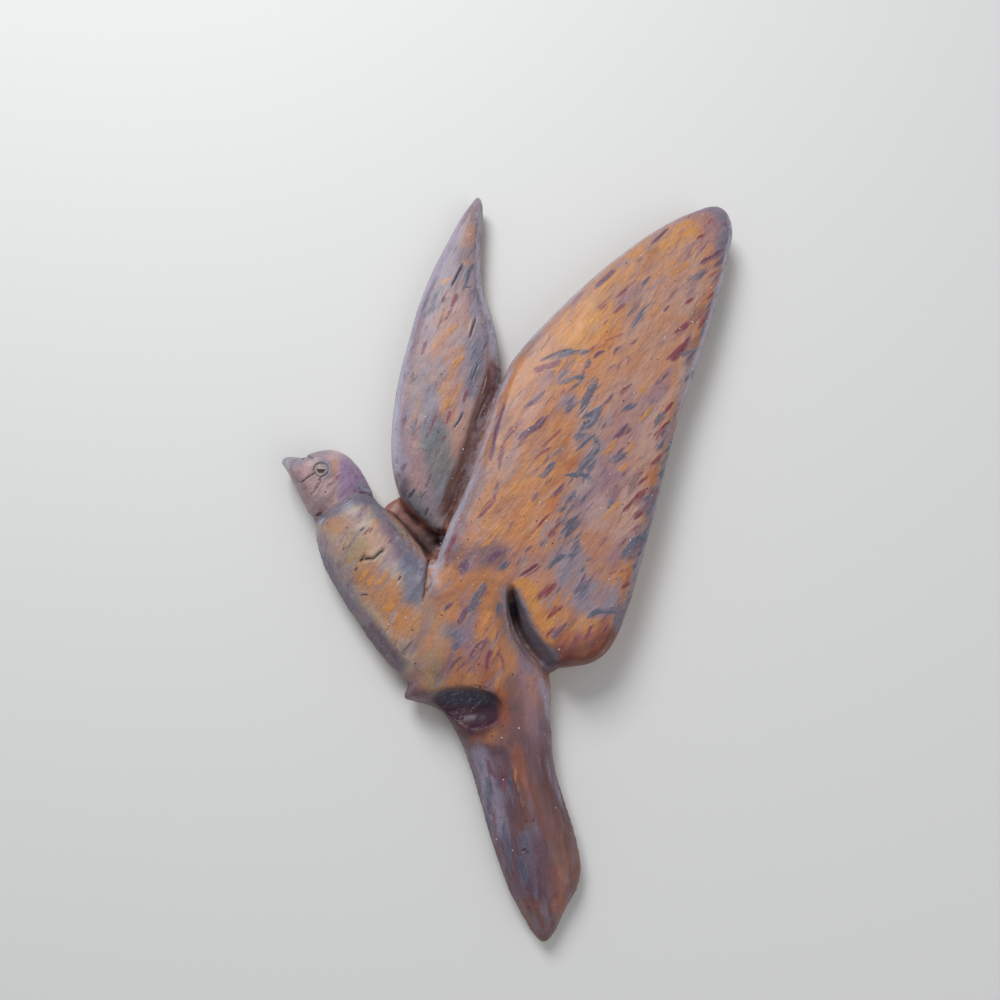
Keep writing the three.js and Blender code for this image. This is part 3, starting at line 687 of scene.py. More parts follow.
# Cuts and cracks. Each row is a width, a depth, the height of the lip and a path.
CUTS = (
    *cuts(
        Area.HEAD,
        (0.5, 0.35, 0.04, -19.9, 5.2, -21.2, 5.8, -22.2, 5.9),
        (0.6, 0.12, 0.06, -22.8, 5.6, -25.3, 4.1, -27.2, 2.9),
        (0.6, 0.4, 0.06, -27.7, 2.8, -28.5, 2.4),
        (0.4, 0.26, 0.06, -28.8, 8.8, -29.6, 8.3, -30.3, 7.8, -30.8, 7.3),
        (0.5, 0.14, 0.1, -27.8, 8.1, -28.3, 6.9, -29.1, 5.6),
        (0.9, 0.25, 0.02, -30.2, 11.6, -30.8, 10.8),
    ),
    *cuts(
        Area.BREAST,
        (0.75, 0.45, 0.02, -21.6, -4.1, -20.6, -3.9, -19.9, -3.9, -18.9, -3, -18.3, -2.6),
        (0.5, 0.35, 0.05, -21.7, -4.4, -21.1, -3.3),
        (0.4, 0.22, 0.04, -16.3, -7.1, -15.9, -6.4),
        (0.4, 0.22, 0.04, -22.5, -5.6, -22.1, -5.2),
        (0.35, 0.16, 0.03, -21.9, 0, -21.2, 0.5),
        (0.35, 0.16, 0.04, -21.7, -9, -20.3, -9),
    ),
    *cuts(
        Area.FAR_WING,
        (0.4, 0.35, 0.05, -7.7, 42.8, -8.7, 40.6, -9.4, 39.1),
        (0.35, 0.24, 0.04, -7.3, 38.8, -6.3, 38.9),
        (0.45, 0.35, 0.05, -5.6, 33.8, -6.1, 32.2, -6.6, 30.4),
        (0.4, 0.3, 0.03, -7.5, 18.5, -8, 17.3, -8.8, 16.1),
        (0.3, 0.16, 0.02, -10.4, 37.2, -10.9, 36.3),
    ),
    *cuts(
        Area.NEAR_WING,
        (0.24, 0.12, 0, 22.9, 32, 21.5, 29.7, 20.8, 28.5),
        (0.24, 0.12, 0, 19.9, 27.1, 18.9, 25.9),
        (0.3, 0.12, 0, 4.3, 25.6, 6.1, 26.5, 7.6, 27.1, 9.2, 27.4),
        (0.3, 0.14, 0, 9.1, 16.6, 11.5, 19.3),
        (0.3, 0.12, 0, 1.5, -1.8, 2.9, 0, 5.1, 2.4),
        (0.4, 0.18, 0.04, 0.6, -6.7, 2.3, -5.7, 3.5, -4.8),
    ),
    *cuts(Area.TAIL, (0.35, 0.22, 0.08, 0.9, -43.2, 1.4, -42.9, 1.8, -43.7)),
    *cuts(
        Area.FAR_WING,
        (0.35, 0.2, 0.04, -4, 24.4, -4.8, 21.6),
        (0.35, 0.2, 0.04, -4.2, 20.4, -5.6, 17),
        (0.3, 0.18, 0.04, -5.2, 26.4, -6.2, 23.4),
        (0.35, 0.2, 0.04, -12, 9.2, -12.9, 6.8),
        (0.45, 0.25, 0.04, -14.4, 6.8, -15.2, 5.4),
        (0.45, 0.25, 0.04, -12.4, 4, -13, 2.6),
    ),
    *cuts(Area.WHOLE, (0.8, 0.35, 0, -12.2, -3.4, -12.3, -7, -12.6, -10.2)),
    *cuts(Area.HIP, (0.3, 0.15, 0.03, -5.6, -21.4, -3.6, -21.8)),
)

# The hollow under the hip was gouged out in short curved passes.
GOUGE_PASSES = cuts(
    Area.HIP,
    *(
        (0.55, 0.26, 0.1, *ends)
        for ends in (
            (-9.6, -23, -8.7, -22.6), (-8.2, -22.7, -7.2, -22.3), (-6.6, -22.5, -5.6, -22.5),
            (-5, -22.7, -4.2, -23), (-9.2, -24, -8.5, -23.5), (-7.9, -23.7, -7, -23.4),
            (-6.3, -23.6, -5.5, -23.3), (-4.8, -23.8, -3.9, -23.6), (-8.9, -25, -8, -24.7),
            (-7.3, -24.8, -6.6, -24.4), (-5.9, -24.6, -5.2, -24.2), (-7.9, -25.8, -7.1, -25.5),
        )
    ),
)

SCRATCHES = cuts(Area.BREAST, (0.4, 0.12, 0.1, -16.6, -11.5, -17.7, -14.3))

# Painted highlights: the ridges between the gouge passes are made a little paler.
GOUGE_RIDGE_HIGHLIGHTS = tuple(Patch(cut.path, 0.3, 0.6, Area.HIP) for cut in GOUGE_PASSES)


def path_distance(points: np.ndarray, path: Path) -> tuple[np.ndarray, np.ndarray]:
    """How far each point lies from a path.

    Args:
        points: N by 2 array of places.
        path: Corner points of the path.

    Returns:
        The distances, and the share of the path's length at which each nearest place lies.
    """
    corners = np.asarray(path, float)
    steps = np.linalg.norm(np.diff(corners, axis=0), axis=1)
    reached = np.concatenate([[0.0], np.cumsum(steps)])
    best = np.full(len(points), np.inf)
    share = np.zeros(len(points))
    for start, end, length, before in zip(corners, corners[1:], steps, reached):
        run = end - start
        t = np.clip((points - start) @ run / (length * length), 0, 1)
        away = np.linalg.norm(points - (start + t[:, None] * run), axis=1)
        nearer = away < best
        best = np.where(nearer, away, best)
        share = np.where(nearer, (before + t * length) / reached[-1], share)
    return best, share


def smooth_step(values: np.ndarray, low: float, high: float) -> np.ndarray:
    """Rise smoothly from 0 at low to 1 at high."""
    t = np.clip((values - low) / (high - low), 0, 1)
    return t * t * (3 - 2 * t)


def ridge(away: np.ndarray, middle: float, width: float) -> np.ndarray:
    """A soft ridge of height 1, at a distance of middle from a line or a point."""
    return np.exp(-(((away - middle) / width) ** 2))


def inside(points: np.ndarray, outline: Path) -> np.ndarray:
    """Whether each point lies inside a closed outline.

    Args:
        points: N by 2 array of places.
        outline: Corners of the outline, in order.

    Returns:
        An array of booleans.
    """
    x, y = points[:, 0], points[:, 1]
    found = np.zeros(len(points), bool)
    corners = list(outline)
    for (x0, y0), (x1, y1) in zip(corners, corners[1:] + corners[:1]):
        if y0 == y1:
            continue
        crosses = (y0 > y) != (y1 > y)
        found ^= crosses & (x < (x1 - x0) * (y - y0) / (y1 - y0) + x0)
    return found


class CarvedSurface:
    """The bird's skin as arrays, in millimetres, for carving and painting."""

    BACK_HEIGHT = 0.02
    CARVED_HEIGHT = 0.3
    CARVED_SLOPE = -0.2
    CUT_TIP = 0.35
    CUT_TAPER = 4.5
    CUT_SHARPNESS = 1.2

    def __init__(self, mesh: bpy.types.Mesh) -> None:
        """Read the places and edges of a mesh."""
        self.mesh = mesh
        self.at = np.empty(len(mesh.vertices) * 3)
        mesh.vertices.foreach_get("co", self.at)
        self.at = self.at.reshape(-1, 3) / MM
        edges = np.empty(len(mesh.edges) * 2, int)
        mesh.edges.foreach_get("vertices", edges)
        self.one, self.other = edges.reshape(-1, 2).T
        self.count = len(self.at)
        self.degree = np.bincount(edges, minlength=self.count)
        self.normals = self.read_normals()

    def read_normals(self) -> np.ndarray:
        """Outward directions of the mesh as it stands."""
        found = np.empty(self.count * 3)
        self.mesh.vertices.foreach_get("normal", found)
        return found.reshape(-1, 3)

    def write(self) -> None:
        """Put the places back into the mesh and read its new outward directions."""
        self.mesh.vertices.foreach_set("co", (self.at * MM).ravel())
        self.mesh.update()
        self.normals = self.read_normals()

    def averaged(self, values: np.ndarray) -> np.ndarray:
        """The mean of the neighbours' values at every vertex.

        Args:
            values: One number, or one row of numbers, for each vertex.

        Returns:
            An array of the same shape.
        """
        rows = values.reshape(self.count, -1)
        out = np.empty_like(rows, dtype=float)
        for k in range(rows.shape[1]):
            column = rows[:, k]
            total = np.bincount(self.one, column[self.other], self.count)
            total += np.bincount(self.other, column[self.one], self.count)
            out[:, k] = total / self.degree
        return out.reshape(values.shape)

    def spread(
        self, values: np.ndarray, passes: int, share: np.ndarray | float = 0.5
    ) -> np.ndarray:
        """Soften values over the surface.

        Args:
            values: One number, or one row of numbers, for each vertex.
            passes: How many times to soften them.
            share: How far each pass goes towards the mean of the neighbours.

        Returns:
            The softened values.
        """
        for _ in range(passes):
            values = values + share * (self.averaged(values) - values)
        return values

    def fair(self, passes: int) -> None:
        """Smooth away facets without shrinking the form.

        Args:
            passes: How many times to smooth.
        """
        flat_back = self.at[:, 2] < self.BACK_HEIGHT
        shrink, swell = 0.5, -0.52
        for push in (shrink, swell) * passes:
            self.at = self.spread(self.at, 1, push)
            self.at[flat_back, 2] = 0
        self.at[:, 2] = np.maximum(self.at[:, 2], 0)
        self.write()

    def fill(self, passes: int, share: np.ndarray) -> None:
        """Fill hollows and lower ridges until the surface runs smoothly across them.

        Args:
            passes: How many times to smooth.
            share: For each vertex, 1 where it is free to move and 0 where it stays.
        """
        self.at = self.spread(self.at, passes, 0.6 * share[:, None])
        self.write()

    def relief(self, passes: int) -> np.ndarray:
        """Height of the surface over its own smoothed form: ridges above 0, hollows below."""
        smoothed = self.spread(self.at, passes, 0.6)
        return np.einsum("ij,ij->i", self.at - smoothed, self.normals)

    def seen(self, area: Area) -> np.ndarray:
        """Where each vertex is seen on the sheet that is held over an area."""
        if area not in SHEET_HEIGHTS:
            return self.at[:, :2]
        eye = np.array(EYE_PLACE)
        share = (eye[2] - SHEET_HEIGHTS[area]) / (eye[2] - self.at[:, 2])
        return eye[:2] + (self.at[:, :2] - eye[:2]) * share[:, None]

    def near(self, plan: np.ndarray, path: Path, reach: float) -> np.ndarray:
        """Indices of the vertices on the carved side within reach of a path's box.

        Args:
            plan: Where the vertices are seen on the sheet.
            path: The path on that sheet.
            reach: How far round the path to look.

        Returns:
            The indices.
        """
        corners = np.asarray(path, float)
        low, high = corners.min(0) - reach, corners.max(0) + reach
        x, y = plan.T
        found = (x > low[0]) & (x < high[0]) & (y > low[1]) & (y < high[1])
        found &= (self.normals[:, 2] > self.CARVED_SLOPE) & (self.at[:, 2] > self.CARVED_HEIGHT)
        return np.flatnonzero(found)

    def cut(self, stroke: KnifeCut) -> None:
        """Press a knife cut into the surface, with a lip beside it.

        Args:
            stroke: The cut to make.
        """
        half = stroke.width / 2
        plan = self.seen(stroke.area)
        chosen = self.near(plan, stroke.path, 3.2 * half)
        away, share = path_distance(plan[chosen], stroke.path)
        taper = np.clip(self.CUT_TAPER * np.minimum(share, 1 - share) + self.CUT_TIP, 0, 1)
        groove = stroke.depth * np.clip(1 - away / half, 0, 1) ** self.CUT_SHARPNESS
        lip = stroke.lip * ridge(away, 1.5 * half, 0.6 * half)
        self.at[chosen] += (taper * (lip - groove))[:, None] * self.normals[chosen]


@dataclass
class Skin:
    """The fine skin that is laid over the solid and carved."""

    voxel: float = 0.356
    fairing: int = 9
    folding: int = 50
    fold_height: float = 3.0
    cut_reach: float = 0.85
    eye_reach: float = 1.5
    ripple: float = 0.055
    ripple_lean: float = 54.0
    ripple_length: float = 7.0
    ripple_width: float = 2.2
    eye_centre: Point = (-27.72, 8.94)
    eye_radius: float = 1.0
    side_drop: float = 0.15
    side_edge: float = 1.4

    def fine_mesh(self, node: bpy.types.Object) -> bpy.types.Object:
        """Copy the solid and give the copy an even, fine mesh.

        Args:
            node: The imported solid.

        Returns:
            The new piece, at the origin.
        """
        merged = bmesh.new()
        merged.from_mesh(node.data)
        bmesh.ops.remove_doubles(merged, verts=merged.verts, dist=0.01 * MM)
        bmesh.ops.recalc_face_normals(merged, faces=merged.faces)
        mesh = bpy.data.meshes.new("carved_wood")
        merged.to_mesh(mesh)
        merged.free()
        piece = bpy.data.objects.new("carved_wood", mesh)
        bpy.context.scene.collection.objects.link(piece)
        remesh = piece.modifiers.new("even_skin", "REMESH")
        remesh.mode = "VOXEL"
        remesh.voxel_size = self.voxel * MM
        remesh.use_smooth_shade = True
        evaluated = piece.evaluated_get(bpy.context.evaluated_depsgraph_get())
        fine = bpy.data.meshes.new_from_object(evaluated)
        piece.modifiers.clear()
        piece.data = fine
        bpy.data.meshes.remove(mesh)
        return piece

    def refine(self, mesh: bpy.types.Mesh) -> None:
        """Split the faces where the carving is finest: round the eye and along the cuts.

        Args:
            mesh: The skin's mesh.
        """
        work = bmesh.new()
        work.from_mesh(mesh)
        lines = [cut.path for cut in CUTS + GOUGE_PASSES + SCRATCHES]
        eye = [(self.eye_centre, (self.eye_centre[0] + 0.01, self.eye_centre[1]))]
        for splits, paths, reach in ((1, lines, self.cut_reach), (3, eye, self.eye_reach)):
            places = np.array([v.co for v in work.verts]) / MM
            upper = np.array([v.normal.z for v in work.verts]) > 0.2
            chosen = np.zeros(len(places), bool)
            for path in paths:
                away, _ = path_distance(places[:, :2], path)
                chosen |= (away < reach) & upper
            work.verts.ensure_lookup_table()
            edges = {e for i in np.flatnonzero(chosen) for e in work.verts[i].link_edges}
            bmesh.ops.subdivide_edges(work, edges=list(edges), cuts=splits, use_grid_fill=True)
        work.to_mesh(mesh)
        work.free()
        mesh.update()

    def ripples(self, surface: CarvedSurface) -> None:
        """Leave the shallow, uneven facets of a knife all over the surface.

        Args:
            surface: The surface to move.
        """
        lean = math.radians(self.ripple_lean)
        along = np.array([math.cos(lean), math.sin(lean), 0]) / self.ripple_length
        across = np.array([-math.sin(lean), math.cos(lean), 0]) / self.ripple_width
        finer, aside = 2.7, Vector((5, 9, 2))
        coarse = np.empty(surface.count)
        for i, place in enumerate(surface.at):
            spot = Vector((place @ along, place @ across, place[2] / self.ripple_width))
            coarse[i] = noise.noise(spot) + 0.45 * noise.noise(spot * finer + aside)
        height = self.ripple * coarse * (surface.at[:, 2] >= 0.15)
        surface.at += height[:, None] * surface.normals
        surface.write()

    def carve_tail_side(self, surface: CarvedSurface) -> None:
        """Plane the left side of the tail down from a crisp ridge.

        Args:
            surface: The surface to carve.
        """
        plan = surface.at[:, :2]
        side = inside(plan, Area.TAIL_SIDE.value)
        away, _ = path_distance(plan, Area.TAIL_SIDE.value[:-1])
        surface.at[side, 2] *= 1 - self.side_drop * (1 - np.exp(-away[side] / self.side_edge))
        surface.write()

    def carve_eye(self, surface: CarvedSurface) -> None:
        """Cut the ring round the eye and round off the eyeball inside it.

        Args:
            surface: The surface to cut.
        """
        plan = surface.at[:, :2]
        chosen = surface.near(plan, (self.eye_centre, self.eye_centre), 2.0)
        offset = plan[chosen] - self.eye_centre
        away = np.linalg.norm(offset, axis=1)
        rings = 0.22 * ridge(away, self.eye_radius, 0.1)
        rings += 0.08 * ridge(away, 0.68 * self.eye_radius, 0.07)
        brow = 0.07 * ridge(away, 1.3 * self.eye_radius, 0.2)
        ball = 0.14 * np.clip(1 - away / self.eye_radius, 0, 1) ** 0.6
        pupil = 0.16 * self.in_pupil(offset)
        surface.at[chosen] += (brow + ball - rings - pupil)[:, None] * surface.normals[chosen]
        surface.write()

    @staticmethod
    def in_pupil(offset: np.ndarray) -> np.ndarray:
        """How far places, measured from the eye's middle, lie in the half-moon pupil."""
        across = np.hypot(offset[:, 0] / 0.64, (offset[:, 1] + 0.02) / 0.56)
        return (1 - smooth_step(across, 0.7, 1.1)) * (1 - smooth_step(offset[:, 1], -0.02, 0.12))

    def carve(self, surface: CarvedSurface) -> None:
        """Do all the fine carving.

        Args:
            surface: The surface to carve.
        """
        surface.fair(self.fairing)
        for fold in SMOOTHED:
            free = fold.cover(surface.at[:, :2], 0.5, 1.0)
            surface.fill(self.folding, free * (surface.at[:, 2] > self.fold_height))
        self.carve_tail_side(surface)
        self.ripples(surface)
        for stroke in CUTS + GOUGE_PASSES + SCRATCHES:
            surface.cut(stroke)
        surface.write()
        self.carve_eye(surface)


# The paints that lie in layers of their own over the washes, by the name of the layer.
LAYERS = {
    "amber": Pigment.AMBER,
    "crimson": Pigment.CRIMSON,
    "purple": Pigment.PURPLE,
    "slate": Pigment.SLATE,
    # Dark marks and the pupil, with the painted shade in the cuts and in the eye's ring grooves.
    "marks_and_groove_shade": Pigment.SOOT,
}


class Painter:
    """Lays washes and strokes on the carved surface, as vertex attributes."""

    BORDER_PASSES = {Area.TAIL: 16, Area.TAIL_SIDE: 10, Area.HIP: 8}
    BROAD_PASSES = 60
    FINE_PASSES = 6
    BRISTLE = 0.42
    EDGE_SOFTNESS = 0.2
    FRINGE = 0.3
    FRINGE_REACH = 1.2
    SMEAR = 0.7
    FLURRY_FRINGE = 0.14
    FLURRY_SPREAD = 0.45
    FLURRY_BEND = 0.14
    FLURRY_TURN = 9
    SEED = 11

    def __init__(self, surface: CarvedSurface) -> None:
        """Prepare bare wood."""
        self.surface = surface
        self.plan = surface.at[:, :2]
        self.plans = {area: surface.seen(area) for area in Area}
        self.chance = np.random.default_rng(self.SEED)
        self.upper = smooth_step(surface.normals[:, 2], -0.25, 0.15)
        self.masks = {area: self.area_mask(area) for area in Area}
        self.ground = np.zeros((surface.count, 3))
        self.warmth = np.zeros(surface.count)
        self.mottle = np.full(surface.count, 0.5)
        self.layers = {pigment: np.zeros(surface.count) for pigment in LAYERS.values()}

    def area_mask(self, area: Area) -> np.ndarray:
        """How far each vertex belongs to an area, softened over its borders."""
        mask = inside(self.plan, area.value).astype(float)
        return self.surface.spread(mask, self.BORDER_PASSES.get(area, 2))

    def stain(self, pigment: Pigment, cover: np.ndarray) -> None:
        """Rub a pigment into the ground colour, by a share for each vertex."""
        self.ground += cover[:, None] * (np.array(pigment.linear()) - self.ground)

    def first_coats(self) -> None:
        """Cover each area in its own first colour."""
        self.ground[:] = Pigment.DUSK.linear()
        for area, (pigment, warmth, mottle) in FIRST_COATS.items():
            mask = self.masks[area]
            self.stain(pigment, mask)
            self.warmth += mask * (warmth - self.warmth)
            self.mottle += mask * (mottle - self.mottle)
        self.warmth = self.surface.spread(self.warmth, self.FINE_PASSES)

    def wash(self, wash: Wash) -> None:
        """Rub a wash into the ground colour.

        Args:
            wash: The wash to lay.
        """
        area = wash.patch.area
        cover = wash.patch.cover(self.plans[area], end=1.7) * self.masks[area] * self.upper
        self.stain(wash.pigment, cover)
        if wash.pigment in WARM_STAINS:
            self.mottle *= 1 - 0.5 * cover
        else:
            self.warmth *= 1 - 0.8 * cover
        if wash.pigment in DEEP_STAINS:
            self.mottle *= 1 - 0.75 * cover

    def mark(
        self,
        pigment: Pigment,
        line: Path,
        width: float,
        area: Area,
        strength: float = 1.0,
        fringe: float = 0.0,
    ) -> None:
        """Lay one thin mark that runs out at both ends.

        Args:
            pigment: Colour of the paint.
            line: Corner points of the mark.
            width: Width at the middle.
            area: The area that the mark stays in.
            strength: How well the paint covers.
            fringe: How much paint is dragged out round the mark.
        """
        plan = self.plans[area]
        chosen = self.surface.near(plan, line, width / 2 + self.FRINGE_REACH + 0.1)
        away, share = path_distance(plan[chosen], line)
        length = np.linalg.norm(np.diff(np.asarray(line, float), axis=0), axis=1).sum()
        run_out = 0.7 * width + 0.5
        taper = np.clip(np.minimum(share, 1 - share) * length / run_out, 0, 1) ** 0.6
        half = width / 2 * (0.3 + 0.7 * taper)
        cover = np.clip(0.5 + 0.5 * (half - away) / (0.5 * half + self.EDGE_SOFTNESS), 0, 1)
        dragged = fringe * (1 - smooth_step(away, half, half + self.FRINGE_REACH))
        cover = np.maximum(cover, dragged) * strength
        cover *= self.masks[area][chosen] > 0.5
        layer = self.layers[pigment]
        layer[chosen] = np.maximum(layer[chosen], cover)

    def stroke(self, pigment: Pigment, line: Path, width: float, area: Area) -> None:
        """Lay one brush stroke: a thin smear, and the uneven marks of the bristles in it.

        Args:
            pigment: Colour of the paint.
            line: Corner points of the stroke.
            width: Width of the brush.
            area: The area that the stroke stays in.
        """
        corners = np.asarray(line, float)
        middle = corners.mean(0)
        run = corners[-1] - corners[0]
        length = np.linalg.norm(run)
        run = run / length
        across = np.array([-run[1], run[0]])
        self.mark(pigment, line, 0.95 * width, area, self.SMEAR, self.FRINGE)
        bristles = max(1, round(width / self.BRISTLE))
        for k in range(bristles):
            aside = (k + 0.5) / bristles - 0.5
            slide = self.chance.uniform(-0.22, 0.22) * min(length, 2.5)
            shorter = 1.05 - 0.7 * abs(aside)
            place = middle + across * aside * width + run * slide
            bent = place + (corners - middle) * shorter
            self.mark(pigment, bent, 1.3 * width / bristles, area, self.chance.uniform(0.8, 1.1))

    def flurry(self, flurry: Flurry) -> None:
        """Lay many thin strokes at random along a band.

        Args:
            flurry: The band, the paint and the number of strokes.
        """
        corners = np.asarray(flurry.band, float)
        steps = np.linalg.norm(np.diff(corners, axis=0), axis=1)
        for _ in range(flurry.count):
            k = self.chance.choice(len(steps), p=steps / steps.sum())
            place = corners[k] + (corners[k + 1] - corners[k]) * self.chance.uniform()
            place = place + self.chance.normal(0, self.FLURRY_SPREAD * flurry.spread, 2)
            lean = math.radians(flurry.lean + self.chance.normal(0, self.FLURRY_TURN))
            half = self.chance.uniform(0.3, 1.0) * flurry.longest / 2
            reach = half * np.array([math.cos(lean), math.sin(lean)])
            bend = self.chance.normal(0, self.FLURRY_BEND) * np.array([-reach[1], reach[0]])
            width = flurry.widest * self.chance.uniform(0.4, 1.0)
            strength = self.chance.uniform(0.5, 1.0)
            line = (place - reach, place + bend, place + reach)
            self.mark(flurry.pigment, line, width, flurry.area, strength, self.FLURRY_FRINGE)

    def paint_eye(self) -> None:
        """Darken the pupil, lay painted shade in the ring grooves, light a ring between the grooves
        and a line over the pupil as painted highlights, and grey the skin round it.
        """
        offset = self.plan - Skin.eye_centre
        away = np.linalg.norm(offset, axis=1)
        here = (away < 2.4) & (self.surface.normals[:, 2] > 0)
        # Painted shade in the two ring grooves, and the dark pupil.
        dark = 0.42 * ridge(away, 1.0, 0.11) + 0.3 * ridge(away, 0.72, 0.06)
        dark = np.clip(dark + Skin.in_pupil(offset), 0, 1)
        marks_and_groove_shade = self.layers[Pigment.SOOT]
        marks_and_groove_shade[here] = np.maximum(marks_and_groove_shade, dark)[here]
        # Painted highlights: a light ring between the grooves and a bright line over the pupil.
        bowed = offset[:, 1] + 0.3 * offset[:, 0] ** 2
        lid = ridge(bowed, 0.2, 0.08) * (np.abs(offset[:, 0]) < 0.5)
        light = 0.9 * ridge(away, 0.85, 0.09) + 1.2 * lid
        self.eye_highlight = np.where(here, np.clip(light, 0, 1), 0)
        for pigment, reach, strength in ((Pigment.SMOKE, 1.7, 0.5), (Pigment.OLIVE, 1.0, 0.6)):
            self.stain(pigment, strength * (1 - smooth_step(away, 0.7 * reach, reach)) * here)

    def rims(self) -> tuple[np.ndarray, np.ndarray]:
        """Find what wear, painted highlights, dirt and painted shade change.

        Returns:
            How worn and pale each vertex is, with the painted highlights of the rims and the eye,
            and how dark it is with dirt and with the painted shade of hollows.
        """
        slope = smooth_step(1 - self.surface.normals[:, 2], 0.06, 0.4) * self.upper
        wear_and_highlight = np.zeros(self.surface.count)
        for rim in WORN_AND_LIT_RIMS + GOUGE_RIDGE_HIGHLIGHTS:
            wear_and_highlight = np.maximum(wear_and_highlight, rim.cover(self.plan) * self.masks[rim.area])
        broad = self.surface.relief(self.BROAD_PASSES)
        fine = self.surface.relief(self.FINE_PASSES)
        # Painted shade, and dirt: the hollows of the broad and of the fine relief are darkened.
        soot = smooth_step(-broad, 0.16, 0.8) + 0.8 * smooth_step(-fine, 0.03, 0.14)
        for clean in LESS_DARKENED_HOLLOWS:
            soot *= 1 - clean.cover(self.plan)
        # Painted highlights: the pale rims show most on slopes and on faces turned up to the light.
        top = 0.3 + 0.7 * smooth_step(self.surface.normals[:, 2], 0.0, 0.5)
        wear_and_highlight = self.surface.spread(wear_and_highlight * (0.6 + 0.4 * slope) * top, 3)
        return np.maximum(wear_and_highlight, self.eye_highlight), np.clip(soot, 0, 1)

    def paint(self) -> None:
        """Paint the whole bird and store the result on its mesh."""
        self.first_coats()
        for wash in WASHES:
            self.wash(wash)
        for (area, pigment), strokes in STROKES.items():
            for width, *numbers in strokes:
                self.stroke(pigment, trail(*numbers), width, area)
        for flurry in FLURRIES:
            self.flurry(flurry)
        # Painted shade: a dark line down each cut, the darker the deeper the cut.
        for cut in CUTS:
            darkness = min(1.0, 0.4 + 2.4 * cut.depth)
            self.mark(Pigment.SOOT, cut.path, 0.4 * cut.width, cut.area, darkness, 0.2)
        self.paint_eye()
        pale, soot = self.rims()
        self.stain(Pigment.WALNUT, 1 - self.upper)
        slim = np.maximum(self.masks[Area.FAR_WING], 0.7 * self.masks[Area.HIP])
        painted = {name: self.layers[pigment] for name, pigment in LAYERS.items()} | {
            "warmth": self.warmth,
            "mottle": self.mottle,
            "pale": pale,
            "soot": soot,
            "far_wing": self.surface.spread(slim, self.FINE_PASSES),
            "tail": self.surface.spread(self.masks[Area.TAIL], self.BROAD_PASSES),
        }
        mesh = self.surface.mesh
        for name, values in painted.items():
            layer = mesh.attributes.new(name, "FLOAT", "POINT")
            layer.data.foreach_set("value", values.astype(np.float32))
        colours = np.ones((self.surface.count, 4), np.float32)
        colours[:, :3] = self.surface.spread(self.ground, 2)
        layer = mesh.attributes.new("ground", "FLOAT_COLOR", "POINT")
        layer.data.foreach_set("color", colours.ravel())


class Value:
    """A number that varies over a surface, written in formulas like any other number."""

    def __init__(self, bench: "NodeBench", socket: bpy.types.NodeSocket) -> None:
        """Wrap an output socket."""
        self.bench = bench
        self.socket = socket

    def math(self, operation: str, *others: "Value | float") -> "Value":
        """Work out one operation on this value and others."""
        inputs = dict(enumerate((self, *others)))
        return self.bench.value("ShaderNodeMath", {"operation": operation}, inputs)

    def __add__(self, other: "Value | float") -> "Value":
        """Sum."""
        return self.math("ADD", other)

    __radd__ = __add__

    def __sub__(self, other: "Value | float") -> "Value":
        """Difference."""
        return self.math("SUBTRACT", other)

    def __rsub__(self, other: float) -> "Value":
        """Difference from a plain number."""
        return self.bench.value("ShaderNodeMath", {"operation": "SUBTRACT"}, {0: other, 1: self})

    def __mul__(self, other: "Value | float") -> "Value":
        """Product."""
        return self.math("MULTIPLY", other)

    __rmul__ = __mul__

    def clamped(self) -> "Value":
        """The value held between 0 and 1."""
        return self.bench.value("ShaderNodeClamp", {}, {0: self, 1: 0.0, 2: 1.0})

    def swing(self, amount: "Value | float") -> "Value":
        """Noise that lies about 0.5, turned into one that swings about 0."""
        return (self - 0.5) * amount

    def step(self, low: float, high: float) -> "Value":
        """Rise smoothly from 0 at low to 1 at high."""
        inputs = {0: self, 1: low, 2: high, 3: 0.0, 4: 1.0}
        return self.bench.value("ShaderNodeMapRange", {"interpolation_type": "SMOOTHSTEP"}, inputs)


